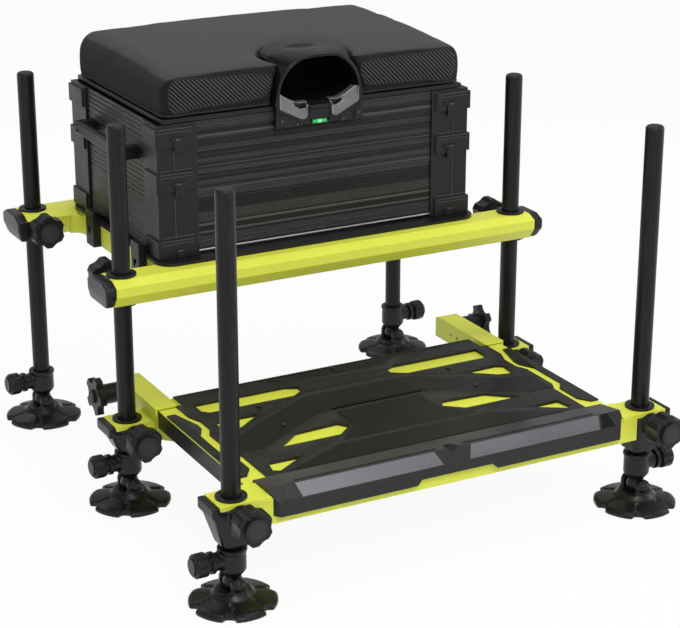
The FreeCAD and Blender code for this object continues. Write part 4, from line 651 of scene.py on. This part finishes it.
# %% [markdown]
# ## The padded seat
# The seat is foam under cloth, so it is swelled like real padding. A copy of the frame's cushion is
# remeshed into even small squares, then a cloth simulation blows it up a little from inside. Every
# point's travel is capped and nothing may sink below the lid, so the seat keeps its size. The
# edges of the recess round the hand opening are softened afterwards.

# %% Remesh and swell the seat
PAD_VOXEL = 5 * MM
PAD_START = 1.2 * MM
PAD_TRAVEL = 3.5 * MM
PAD_FRAMES = 20


def swell(piece, travel, frames):
    """Blows a closed pad up with cloth pressure and caps how far each point moves."""
    start = [corner.co.copy() for corner in piece.data.vertices]
    modifier = piece.modifiers.new("padding", "CLOTH")
    modifier.settings.use_pressure = True
    modifier.settings.uniform_pressure_force = 4
    modifier.settings.effector_weights.gravity = 0
    modifier.settings.quality = 5
    for step in range(1, frames + 1):
        bpy.context.scene.frame_set(step)
    focus(piece)
    bpy.ops.object.modifier_apply(modifier=modifier.name)
    bpy.context.scene.frame_set(1)
    for corner, home in zip(piece.data.vertices, start):
        move = corner.co - home
        if move.length > travel:
            move = move.normalized() * travel
        corner.co = home + move


seat_pad = copy_of("seat_cushion", "seat_pad")
edit(seat_pad, whole=True)
bpy.ops.transform.shrink_fatten(value=-PAD_START)
close()
use_modifier(seat_pad, "REMESH", mode="VOXEL", voxel_size=PAD_VOXEL)
swell(seat_pad, PAD_TRAVEL, PAD_FRAMES)
print("seat corners:", len(seat_pad.data.vertices))

# %% Keep the seat off its neighbours and soften the recess
RECESS_HALF = 92 * MM
RECESS_DEPTH = 118 * MM
RECESS_FOOT = 6 * MM


def beside_recess(corner):
    """True for a point of the pad close to the hand opening's recess."""
    return (abs(corner.co.x) < RECESS_HALF and corner.co.y < seat_low.y + RECESS_DEPTH
            and corner.co.z > seat_low.z + RECESS_FOOT)


edit(seat_pad, "VERT")
softened = pick(seat_pad, "verts", beside_recess)
bpy.ops.mesh.vertices_smooth(factor=0.5, repeat=5)
close()
for corner in seat_pad.data.vertices:
    corner.co.z = max(corner.co.z, seat_low.z)
use_modifier(seat_pad, "SUBSURF", levels=1, render_levels=1)
settle(seat_pad, seat_fabric, "lid", smooth=180)
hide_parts("seat_cushion")
print("softened beside the recess:", softened, "triangles:", 2 * len(seat_pad.data.polygons))

# %% [markdown]
# ## Seams and piping
# A welt runs along the seam between the twill front and the top, and a thicker piping closes the
# base. Both follow the finished pad: a plane cuts a copy of it, and the cut line becomes a round
# bead.

# %% The front welt and the base piping
FRONT_WELT = 0.9
BASE_PIPING = 1.8
PIPING_HEIGHT = 3.2 * MM

welt_place = Vector((0, seat_low.y + FRONT_PANEL, 0))
piping_place = Vector((0, 0, seat_low.z + PIPING_HEIGHT))
front_welt = bead(seat_pad, "seat_front_welt", welt_place, (0, 1, 0), FRONT_WELT)
base_piping = bead(seat_pad, "seat_base_piping", piping_place, (0, 0, 1), BASE_PIPING)
piping_cloth = hard_finish("piping_cloth", (0.020, 0.020, 0.021), 0.75, grain=1300, depth=0.0002,
                           wear=2.2)
for piece in (front_welt, base_piping):
    settle(piece, piping_cloth, "lid", smooth=60)
    print(piece.name, "triangles:", 2 * len(piece.data.polygons))

# %% [markdown]
# ## The hand opening
# The glossy hood in the seat front is one moulding. Its copy gets an oval dish in the top, cut
# with a flattened ball, then an even remesh and a light smoothing turn its sharp corners into
# moulded ones, which matters on a gloss that mirrors the room. The inside is matt and painted very
# dark, as painted shade.

# %% The hood with its oval dish
DISH_CENTRE = Vector((0, bezel_low.y + 60 * MM, bezel_high.z + 4 * MM))
DISH_SIZE = Vector((38 * MM, 22 * MM, 6 * MM))
HOOD_VOXEL = 1.1 * MM

hood = copy_of("catch_bezel", "hand_opening_hood")
dish = primitive("uv_sphere", "dish_tool", segments=48, ring_count=24, radius=1,
                 location=DISH_CENTRE, scale=DISH_SIZE)
cut_away(hood, dish)
use_modifier(hood, "REMESH", mode="VOXEL", voxel_size=HOOD_VOXEL)
use_modifier(hood, "SMOOTH", factor=0.5, iterations=6)
settle(hood, gloss_black, "lid", smooth=180)
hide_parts("catch_bezel")
print("hood faces:", len(hood.data.polygons))

# %% The matt inside in painted shade and the scoops in painted reflection
LIP_DEPTH = 5 * MM
ROOF_DEPTH = 2.5 * MM
WELL_HALF = 62 * MM
WELL_FOOT = 0.5285
WELL_FLOOR = bezel_low.z + 45 * MM
SCOOP_LOW = 0.5135
SCOOP_HIGH = 0.5535
SCOOP_START = 17 * MM
SCOOP_DEPTH = 16 * MM
TOP_DEPTH = 12 * MM


def in_well(face):
    """True for a face that looks into the hand opening, behind its lip."""
    place, way = face.center, face.normal
    inward = -way.x * place.x > 0.2 * abs(place.x) or way.z < -0.2 or way.y < -0.5
    floor = way.z > 0.3 and place.z < WELL_FLOOR
    deep = place.y > bezel_low.y + LIP_DEPTH
    inside = abs(place.x) < WELL_HALF + MM and place.z < bezel_high.z - ROOF_DEPTH
    return deep and inside and (inward or floor) and place.z > WELL_FOOT


def in_scoop(face):
    """True for a sloping face between the sill and a foot."""
    place, way = face.center, face.normal
    slope = way.y > -0.985
    across = SCOOP_START < abs(place.x) < WELL_HALF + MM
    level = SCOOP_LOW < place.z < SCOOP_HIGH
    return slope and across and level and place.y < bezel_low.y + SCOOP_DEPTH


def on_top(face):
    """True for a face of the hood's flat top and dish."""
    return face.normal.z > 0.6 and face.center.z > bezel_high.z - TOP_DEPTH


# The well faces get painted shade and the scoop faces a painted reflection.
for finish in (painted_shade_black, scoop_reflection_grey, hood_satin):
    hood.data.materials.append(finish)
counts = [0, 0, 0, 0]
for face in hood.data.polygons:
    face.material_index = (2 if in_scoop(face) else 1 if in_well(face)
                           else 3 if on_top(face) else 0)
    counts[face.material_index] += 1
print("gloss, well, scoop and top faces:", counts)

# %% [markdown]
# The two feet of the hood are flat shield shapes, each held by two small screws. They are plates
# drawn lying down and then stood up on the hood's front.

# %% The feet of the hood
STAND_UP = Matrix.Rotation(math.radians(90), 4, "X")
FOOT_SHIELD = [(-69, 506), (-69, 527), (-64, 529), (-31, 514), (-27, 506)]


def stand(piece, y):
    """Stands a flat plate up so that it faces the front, on a depth in metres."""
    piece.data.transform(Matrix.Translation((0, y, 0)) @ STAND_UP)
    return piece


left_shield = stand(plate("hood_foot_left", FOOT_SHIELD, 0, 1.4, 0.7), bezel_low.y + 0.2 * MM)
right_shield = duplicate(left_shield, "hood_foot_right", Matrix.Scale(-1, 4, (1, 0, 0)))
for piece in (left_shield, right_shield):
    settle(piece, gloss_black, "lid")
print("hood feet: 2")

# %% [markdown]
# ## Screws
# One button-head screw is modelled and copied wherever a maker would put one. It is a disc with a
# stepped head and a sunk socket.

# %% Model one screw and set the others
def make_screw():
    """A button-head screw of radius 1, standing on the origin along Z."""
    screw = primitive("cylinder", "screw_master", vertices=12, radius=1, depth=0.6,
                      location=(0, 0, 0.3))
    edit(screw)
    pick(screw, "faces", lambda face: face.normal.z > 0.9)
    bpy.ops.mesh.inset(thickness=0.3)
    bpy.ops.transform.translate(value=(0, 0, 0.12))
    bpy.ops.mesh.inset(thickness=0.25)
    bpy.ops.mesh.extrude_region_move(TRANSFORM_OT_translate={"value": (0, 0, -0.4)})
    close()
    return screw


screw_master = make_screw()
WAYS = {"up": Matrix(), "front": Matrix.Rotation(math.radians(90), 4, "X"),
        "rear": Matrix.Rotation(math.radians(-90), 4, "X"),
        "left": Matrix.Rotation(math.radians(-90), 4, "Y"),
        "right": Matrix.Rotation(math.radians(90), 4, "Y")}


def screws(name, spots, body, material, radius):
    """Screws at spots in millimetres, each with the way it faces, as one piece."""
    copies = []
    for way, x, y, z in spots:
        place = (Matrix.Translation((x * MM, y * MM, z * MM)) @ WAYS[way]
                 @ Matrix.Scale(radius * MM, 4))
        copies.append(duplicate(screw_master, name, place))
    return settle(join(name, copies), material, body)


hood_face = bezel_low.y / MM - 1.2
screws("hood_screws", [("front", side * x, hood_face, z) for side in (-1, 1)
                       for x, z in ((60, 517), (36, 510.5))], "lid",
       dark_steel, 2.2)
print("hood screws: 4")

# %% [markdown]
# ## Moulded castings
# The clamp castings, foot sockets and feet are thick mouldings with soft, flowing corners. The
# frame gives their sizes with sharp corners. An even remesh and a few rounds of smoothing melt the
# corners the way a mould does. The bores are then cut afresh, and crisp bush rings stand on them.

# %% Melt corners, cut bores and make rings
def melt(piece, voxel, rounds):
    """Remeshes a piece evenly and smooths it."""
    use_modifier(piece, "REMESH", mode="VOXEL", voxel_size=voxel * MM)
    use_modifier(piece, "SMOOTH", factor=0.5, iterations=rounds)
    return piece


def round_bar(name, radius, low, high, spot):
    """An upright cylinder between two heights, in millimetres, at a spot in metres."""
    return primitive("cylinder", name, vertices=56, radius=radius * MM,
                     depth=(high - low) * MM,
                     location=(spot.x, spot.y, (low + high) / 2 * MM))


def bush_ring(name, top, spot):
    """A bush's flat ring with softened edges, under a height in millimetres."""
    low = top - BUSH_THICK
    ring = round_bar(name, BUSH_OUTER, low, top, spot)
    cut_away(ring, round_bar("bore", BUSH_INNER, low - 5, top + 5, spot))
    edit(ring, "EDGE")
    pick(ring, "edges", lambda edge: edge.calc_face_angle(0) > 1.0)
    bpy.ops.mesh.bevel(offset=0.7 * MM, segments=2, affect="EDGES")
    close()
    return ring


BUSH_INNER = 12.85
BUSH_OUTER = 20.5
BUSH_THICK = 3.4
BORE = 13.0
BORE_SPARE = 9


def melt_castings(node, name, body, rows):
    """Castings with melted corners, fresh bores and crisp bush rings."""
    low, high = map(Vector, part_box(node))
    spots = [LEG_PLACES[row, side] for row in rows for side in SIDES]
    shell = melt(copy_of(node, name), 1.8, 9)
    cut_away(shell, join("bores", [
        round_bar("bore", BORE, low.z / MM - BORE_SPARE, high.z / MM + BORE_SPARE, spot)
        for spot in spots]))
    settle(shell, foot_rubber, body, smooth=50)
    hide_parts(node)
    rings = [bush_ring(name + "_ring", high.z / MM, spot) for spot in spots]
    settle(join(name + "_rings", rings), black_plastic, body)
    print(name, "faces:", len(shell.data.polygons), "rings:", len(rings))


melt_castings("frame_clamps", "beam_clamps", "seat_frame", ("middle", "rear"))
melt_castings("sleeve_clamps", "carrier_clamps", "carrier", ("middle",))
melt_castings("footplate_clamps", "corner_clamps", "footplate", ("front",))

# %% [markdown]
# ## Feet
# The six feet are alike, so one of each kind is melted and copied. The right-hand sockets are the
# left-hand ones turned half round, because the foot screws point outwards on both sides.

# %% Foot discs and foot sockets
def foot_pieces(kind, name, body, voxel, rounds, turn):
    """One melted part at the front left, copied to all six legs."""
    home = LEG_PLACES["front", "left"]
    first = melt(copy_of(f"{kind}_front_left", f"{name}_front_left"), voxel, rounds)
    for (row, side), spot in LEG_PLACES.items():
        half_turn = math.pi if turn and side == "right" else 0.0
        place = (Matrix.Translation((spot.x, spot.y, 0)) @ Matrix.Rotation(half_turn, 4, "Z")
                 @ Matrix.Translation((-home.x, -home.y, 0)))
        copy = duplicate(first, f"{name}_{row}_{side}", place)
        settle(copy, foot_rubber, f"{body}_{row}_{side}", smooth=180)
        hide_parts(f"{kind}_{row}_{side}")
    print(name, "faces each:", len(first.data.polygons))
    bpy.data.objects.remove(first)


foot_pieces("foot_disc", "mud_foot", "disc", 1.5, 5, False)
foot_pieces("foot_socket", "ball_socket", "foot", 1.3, 4, True)

# %% [markdown]
# ## Knob caps
# Each clamp knob carries a round cap with a sunk ring and three small pips, and each foot screw a
# ring of grips. Both are modelled once, facing up at the origin, and then stood on every knob.

# %% Model the knob cap and the foot screw ring
def make_cap(radius):
    """A dished round cap with a raised rim, in millimetres."""
    cap = primitive("cylinder", "cap_master", vertices=40, radius=radius * MM, depth=1 * MM,
                    location=(0, 0, 0.3 * MM))
    edit(cap)
    pick(cap, "faces", lambda face: face.normal.z > 0.9)
    bpy.ops.mesh.inset(thickness=1.6 * MM)
    bpy.ops.mesh.extrude_region_move(TRANSFORM_OT_translate={"value": (0, 0, -0.7 * MM)})
    bpy.ops.mesh.inset(thickness=0.8 * MM)
    bpy.ops.mesh.extrude_region_move(TRANSFORM_OT_translate={"value": (0, 0, 0.9 * MM)})
    bpy.ops.mesh.bevel(offset=0.4 * MM, segments=2, affect="EDGES")
    close()
    return cap


def ring_of(piece, name, count, radius):
    """Copies of a piece in a ring round Z, joined."""
    return join(name, [duplicate(piece, name, Matrix.Rotation(2 * math.pi * step / count, 4, "Z")
                                 @ Matrix.Translation((radius * MM, 0, 0)))
                       for step in range(count)])


def make_block(name, size, edge):
    """A small block with bevelled edges, centred on the origin, in millimetres."""
    block = primitive("cube", name, size=1, scale=[part * MM for part in size])
    edit(block, whole=True)
    bpy.ops.mesh.bevel(offset=edge * MM, segments=2, affect="EDGES")
    close()
    return block


CAP_RADIUS = 14.2
GRIP_COUNT, GRIP_RADIUS = 8, 12.4
PIP_COUNT, PIP_RADIUS = 3, 18.8
cap_master = make_cap(CAP_RADIUS)
grip_block = make_block("grip_master", (2.4, 4.4, 1.6), 0.5)
grip_ring = ring_of(grip_block, "grip_ring_master", GRIP_COUNT, GRIP_RADIUS)
pip = duplicate(screw_master, "pip_master", Matrix.Scale(1.3 * MM, 4))
pip_ring = ring_of(pip, "pip_ring_master", PIP_COUNT, PIP_RADIUS)
print("cap, grip and pip masters made")

# %% Put caps on the clamp knobs and rings on the foot screws
KNOB_BODIES = [name for name in NODES if name.startswith(("knob_frame", "knob_sleeve",
                                                          "knob_footplate"))]
PIP_SINK = 3.4
GRIP_SINK = 2.5
STAR_CAP = 0.6


def on_end(node, way, sink=0.0):
    """A matrix that stands a piece on the outer end of a knob."""
    low, high = map(Vector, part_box(node))
    middle = (low + high) / 2
    if way in ("front", "rear"):
        middle.y = low.y + sink * MM if way == "front" else high.y - sink * MM
    else:
        middle.x = low.x + sink * MM if way == "left" else high.x - sink * MM
    return Matrix.Translation(middle) @ WAYS[way]


for node in KNOB_BODIES:
    way = "rear" if node.startswith("knob_frame_middle") else "front"
    settle(duplicate(cap_master, "cap_" + node, on_end(node, way)), cap_grey, node)
    settle(duplicate(pip_ring, "pips_" + node, on_end(node, way, PIP_SINK)), dark_steel, node)
for row in ROWS:
    for side in SIDES:
        node = f"foot_knob_{row}_{side}"
        settle(duplicate(grip_ring, f"grips_{row}_{side}", on_end(node, side, GRIP_SINK)),
               cap_grey, f"foot_screw_{row}_{side}")
for side in SIDES:
    node = f"star_knob_{side}"
    small = on_end(node, side) @ Matrix.Scale(STAR_CAP, 4)
    settle(duplicate(cap_master, "cap_" + node, small), cap_grey, node)
for master in (cap_master, grip_block, grip_ring, pip, pip_ring):
    bpy.data.objects.remove(master)
print("knob caps:", len(KNOB_BODIES) + 2, "grip rings:", len(ROWS) * len(SIDES))

# %% [markdown]
# ## Deck mat
# The mat's pattern is a wide arch with two smaller panels before and behind it. Grooves are cut
# into a copy of the mat along the edges of that pattern, and smooth plates with softened edges lie
# between the grooves. Everything around them keeps the stipple.

# %% Cut the grooves
deck_z = deck_high.z / MM
ARCH_REAR = [(-251, -162), (-212, -158), (-81, -83), (81, -83), (212, -158), (251, -162)]
ARCH_FRONT = [(-245, -222), (-208, -222), (-146, -184), (-85, -149), (85, -149), (146, -184),
              (208, -222), (245, -222)]
FRONT_LINE = [(-222, -300), (-117, -252), (117, -252), (222, -300)]
REAR_LINE = [(-104, -8), (-81, -29), (81, -29), (104, -8)]
GROOVE = 1.0

deck_mat = copy_of("deck_cover", "deck_mat")
lines = [ARCH_REAR, ARCH_FRONT, FRONT_LINE, REAR_LINE]
for line in lines:
    tool = bar_along("groove_tool", [(x, y, deck_z + 0.1) for x, y in line], GROOVE)
    cut_away(deck_mat, tool)
settle(deck_mat, mat_stipple, "footplate")
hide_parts("deck_cover")
print("grooves:", len(lines), "mat faces:", len(deck_mat.data.polygons))

# %% Lay the smooth panels
PANEL_THICK = 0.7
ARCH_PANEL = (
    [(244, -164), (212, -161), (82, -86), (-82, -86), (-212, -161), (-244, -164),
     (-244, -219), (-209, -219), (-147, -181), (-88, -147), (-74, -147), (-70, -140.5)]
    + [(76, -140.5), (80, -147), (88, -147), (147, -181), (209, -219), (244, -219)])
FRONT_PANEL_OUTLINE = [(-214, -300.5), (-116, -255), (116, -255), (214, -300.5)]
REAR_PANEL = [(-99, -8), (-80, -26), (80, -26), (99, -8)]
MIDDLE_PANEL = [(-66, -153), (66, -153), (66, -204), (104, -246), (-104, -246), (-66, -204)]

for name, outline in (("mat_arch", ARCH_PANEL), ("mat_front_panel", FRONT_PANEL_OUTLINE),
                      ("mat_rear_panel", REAR_PANEL), ("mat_middle_panel", MIDDLE_PANEL)):
    settle(plate(name, outline, deck_z - 0.1, PANEL_THICK, 0.35), mat_smooth, "footplate",
           smooth=15)
# Painted shade: a thin near-black plate lies in the slot in front of the arch.
drain = plate("mat_drain_shade", [(-70, -147), (78, -147), (74, -141.5), (-66, -141.5)], deck_z - 0.1,
              0.15, 0.05)
settle(drain, painted_shade_black, "footplate")
print("panels: 4 and a drain slot")

# %% [markdown]
# Small ribs run along the rear edge of the mat and along the front bar. One rib is modelled and an
# Array modifier repeats it.

# %% Ribs along the mat and the bar
def rib_row(name, size, pitch, count, middle):
    """A level row of small ribs along X, round a middle point in millimetres."""
    row = make_block(name, size, 0.3)
    use_modifier(row, "ARRAY", count=count, use_relative_offset=False, use_constant_offset=True,
                 constant_offset_displace=(pitch * MM, 0, 0))
    start = middle[0] - pitch * (count - 1) / 2
    row.data.transform(Matrix.Translation((start * MM, middle[1] * MM, middle[2] * MM)))
    return row


MAT_RIBS, MAT_RIB_PITCH = 74, 6.4
BAR_RIBS, BAR_RIB_PITCH = 52, 4.0
BAR_RUN, BAR_FALL = 45, 7.5

mat_rear = deck_high.y / MM
settle(rib_row("mat_rear_ribs", (3.2, 4.5, 0.9), MAT_RIB_PITCH, MAT_RIBS,
               (0, mat_rear - 3.2, deck_z + 0.2)),
       mat_stipple, "footplate")
bar_rear_slope = math.atan2(BAR_FALL, BAR_RUN)
bar_ribs = [rib_row("bar_ribs", (2.0, 5.0, 1.0), BAR_RIB_PITCH, BAR_RIBS, (middle, 0, 0))
            for middle in (-124, 124)]
bar_grip = join("bar_top_ribs", bar_ribs)
bar_grip.data.transform(Matrix.Translation((0, bar_low.y + 25 * MM, bar_high.z - 1.1 * MM))
                        @ Matrix.Rotation(-bar_rear_slope, 4, "X"))
settle(bar_grip, black_plastic, "footplate")
print("ribs on the mat:", MAT_RIBS, "on the bar:", 2 * BAR_RIBS)

# %% [markdown]
# ## Front bar
# Two satin grey inserts lie on the sloping face of the bar, with slanted ends. They are drawn flat
# and then tipped onto the slope. The place between them is left bare.

# %% The grey inserts
APEX = Vector((0, bar_low.y + 17 * MM, bar_high.z))
SHOULDER = Vector((0, bar_low.y + 3 * MM, bar_high.z - 17 * MM))
slope = APEX - SHOULDER
slope_length = slope.length / MM
TIP = Matrix.Translation(SHOULDER) @ Matrix.Rotation(math.atan2(slope.z, slope.y), 4, "X")
FOOT_LINE, HEAD_LINE = 1.2, slope_length - 1.0
INSERT = [(20, FOOT_LINE), (226, FOOT_LINE), (231, HEAD_LINE), (28, HEAD_LINE)]
END_FACET = [(229, FOOT_LINE), (253, FOOT_LINE), (246, HEAD_LINE), (234, HEAD_LINE)]
for side, sign in SIDES.items():
    for name, outline, thick, finish in (("bar_insert", INSERT, 0.8, grey_insert),
                                         ("bar_end_facet", END_FACET, 0.5, gloss_black)):
        flat = plate(f"{name}_{side}", [(sign * x, y) for x, y in outline], -0.2, thick, 0.3)
        flat.data.transform(TIP)
        settle(flat, finish, "footplate", smooth=15)
print("inserts: 2, slope length", round(slope_length, 1))

# %% [markdown]
# ## Ribs, edges and pins of the box
# Each corner post has an upright rib above its raised block and two level ridges on it, all
# painted a lighter grey as painted highlight lines, and each latch ends in a small pin. Bright edge
# strips close the foot of the base panel as a painted highlight line. One small block, copied and
# sized, makes them all.

# %% Post ribs, latch pins and panel edges
UNIT_LEVELS = [(341, 436), (436, 499), (499, 530)]
POST_RIB = 24
BLOCK_TOP = 26.6
LATCH_PLACE = 30
BLOCK_PROUD = 3
half_width = posts_high.x / MM - BLOCK_PROUD
post_faces = ((posts_low.y / MM + BLOCK_PROUD, -1), (posts_high.y / MM - BLOCK_PROUD, 1))


def block_at(low, high, edge=0.35):
    """A bevelled block between two corners in millimetres."""
    size = [b - a for a, b in zip(low, high)]
    middle = [(a + b) / 2 * MM for a, b in zip(low, high)]
    block = make_block("post_detail", size, edge)
    block.data.transform(Matrix.Translation(middle))
    return block


def mirror_all(pieces):
    """Adds the mirror image of each piece at the other side of the box."""
    return pieces + [duplicate(piece, piece.name, Matrix.Scale(-1, 4, (1, 0, 0)))
                     for piece in pieces]


ribs, pins = [], []
for low, high in UNIT_LEVELS:
    top = low + BLOCK_TOP
    for face, out in post_faces:
        near, far = sorted((face - out * 0.5, face + out * 1.0))
        ridge_near, ridge_far = sorted((face + out * 2.5, face + out * 3.8))
        x = -half_width + POST_RIB
        if high - top > 8:
            ribs.append(block_at((x, near, top + 0.5), (x + 1.4, far, high - 1)))
            ribs.append(block_at((-half_width + 4, near, top + 3), (x + 28, far, top + 4.4)))
        for level in (top - 1.6, top - 6.0):
            ribs.append(block_at((-half_width + 1, ridge_near, level),
                                 (-half_width + 51, ridge_far, level + 1.3)))
        pin_near, pin_far = sorted((face + out * 4.5, face + out * 6.2))
        latch = -half_width + LATCH_PLACE
        pins.append(block_at((latch - 4, pin_near, low + 9.6), (latch + 4, pin_far, low + 12.4),
                             0.5))
# Painted highlight: the ribs and ridges are lighter grey than the posts.
settle(join("post_ribs", mirror_all(ribs)), ridge_highlight_grey, "seat_frame",
       smooth=15)
settle(join("latch_pins", mirror_all(pins)), dark_steel, "seat_frame")
print("post details:", len(ribs) * 2, "pins:", len(pins) * 2)

# %% The painted highlight at the foot of the base panel
panel_front, panel_rear = base_low.y / MM, base_high.y / MM
panel_half = base_high.x / MM
foot = base_low.z / MM
STRIP_HIGH = 2.2
strip_end = panel_half - 57
# Painted highlight: thin bright strips along the front and rear of the panel's foot.
highlight_strips = [block_at((-strip_end, near, foot), (strip_end, far, foot + STRIP_HIGH), 0.2)
          for near, far in ((panel_front - 1.0, panel_front + 0.3),
                            (panel_rear - 0.3, panel_rear + 1.0))]
settle(join("panel_highlight_strips", highlight_strips), highlight_trim, "seat_frame")
print("edge strips: 2")

# %% [markdown]
# ## Screws on the frame
# Screws hold the deck, the hinges and the handles.

# %% Set the frame's screws
ON_PANEL, ON_MAT = deck_z + 0.5, deck_z - 0.1
deck_spots = [("up", 3, -11, ON_PANEL), ("up", 153, -90, ON_MAT), ("up", -153, -90, ON_MAT),
              ("up", 153, -165, ON_PANEL), ("up", -153, -165, ON_PANEL)]
screws("deck_screws", deck_spots, "footplate", dark_steel, 3.2)
hinge_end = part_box("lid_hinges")[1]
hinge_x, hinge_z = hinge_end[0] / MM - 24, hinge_end[2] / MM - 22
hinge_spots = [("rear", side * (hinge_x + step), panel_rear + 2, hinge_z)
               for side in (-1, 1) for step in (-16, 0, 16)]
screws("hinge_screws", hinge_spots, "seat_frame", dark_steel, 2.4)
handle_low, handle_high = map(Vector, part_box("side_handles"))
handle_y = [handle_low.y / MM + 7, handle_high.y / MM - 7]
handle_z = (handle_low.z + handle_high.z) / 2 / MM
handle_spots = [(side, sign * handle_high.x / MM, y, handle_z + step)
                for side, sign in SIDES.items() for y in handle_y for step in (-4.5, 4.5)]
screws("handle_screws", handle_spots, "seat_frame", dark_steel, 2.2)
bpy.data.objects.remove(screw_master)
print("screws:", len(deck_spots) + len(hinge_spots) + len(handle_spots))

# %% [markdown]
# ## Camera, light and floor
# The photograph was taken from the front left, about 20 degrees above the horizon, with a long
# lens. Soft light from large lamps suits black plastic, which shows only what it reflects.

# %% Camera
bpy.ops.object.select_all(action="DESELECT")
CAMERA_PLACE = (-1.2471, -2.3698, 1.1955)
LOOKS_DOWN = 19.85
TURNED = -28.17
LENS = 104.58
bpy.ops.object.camera_add(
    location=CAMERA_PLACE,
    rotation=(math.radians(90 - LOOKS_DOWN), 0, math.radians(TURNED)))
camera = bpy.context.object
camera.data.lens = LENS
camera.data.sensor_width = 36
bpy.context.scene.camera = camera
bpy.context.scene.view_settings.view_transform = "Standard"
print("camera at", tuple(camera.location))

# %% Lamps
def lamp(name, place, target, size, power):
    """A soft square lamp that points at a target."""
    bpy.ops.object.light_add(type="AREA", location=place)
    light = bpy.context.object
    light.name = name
    light.data.size = size
    light.data.energy = power
    light.rotation_euler = (Vector(target) - Vector(place)).to_track_quat("-Z", "Y").to_euler()


lamp("key_lamp", (-0.5, -2.3, 2.5), (0, 0, 0.3), 1.4, 40)
lamp("fill_lamp", (2.5, -0.7, 1.3), (0, 0, 0.3), 1.4, 16)
lamp("top_lamp", (0.2, 0.2, 2.7), (0, 0, 0.3), 1.8, 24)
lamp("back_lamp", (-0.3, 2.4, 2.7), (0, 0, 0.4), 1.0, 10)
lamp("strip_lamp", (0.65, -1.8, 1.95), (0, -0.36, 0.15), 0.7, 3)
print("lamps: 5")

# %% Floor and backdrop
def camera_white(tree, plain, share, white, mirrored=1.0):
    """Shows part of a surface as plain white to the camera, and in gloss and glass."""
    rays = tree.nodes.new("ShaderNodeLightPath").outputs
    bounced = maths(tree, "MAXIMUM", rays["Is Glossy Ray"], rays["Is Transmission Ray"])
    seen = maths(tree, "MAXIMUM", rays["Is Camera Ray"], maths(tree, "MULTIPLY", bounced, mirrored))
    glow = add(tree, white, {"Color": grey(1), "Strength": 1.0})
    return add(tree, "MixShader", {0: maths(tree, "MULTIPLY", seen, share), 1: plain, 2: glow})


FLOOR_SHARE = 0.93
SKY_STRENGTH = 0.42


def make_floor():
    """A pale plane that keeps a soft shadow."""
    bpy.ops.mesh.primitive_plane_add(size=14, location=(0, 0, 0))
    floor = bpy.context.object
    floor.name = "floor"
    material = bpy.data.materials.new("pale_floor")
    material.use_nodes = True
    tree = material.node_tree
    output = tree.nodes["Material Output"]
    matt = add(tree, "BsdfDiffuse", {"Color": grey(0.86)})
    shown = camera_white(tree, matt, FLOOR_SHARE, "Emission")
    tree.links.new(shown, output.inputs["Surface"])
    give(floor, material)


def make_world():
    """A soft grey sky that the camera sees as white, and whose gloss darkens overhead."""
    world = bpy.data.worlds.new("studio")
    world.use_nodes = True
    tree = world.node_tree
    output = tree.nodes["World Output"]
    sky = add(tree, "Background", {"Color": grey(1), "Strength": SKY_STRENGTH})
    height = parts_of(tree, add(tree, "TexCoord", out="Generated"))[2]
    overhead = ramp(tree, height, 0.0, 0.16, 1.0, 0.0)
    tree.links.new(camera_white(tree, sky, 1.0, "Background", overhead), output.inputs["Surface"])
    bpy.context.scene.world = world


make_floor()
make_world()
print("floor and backdrop made")
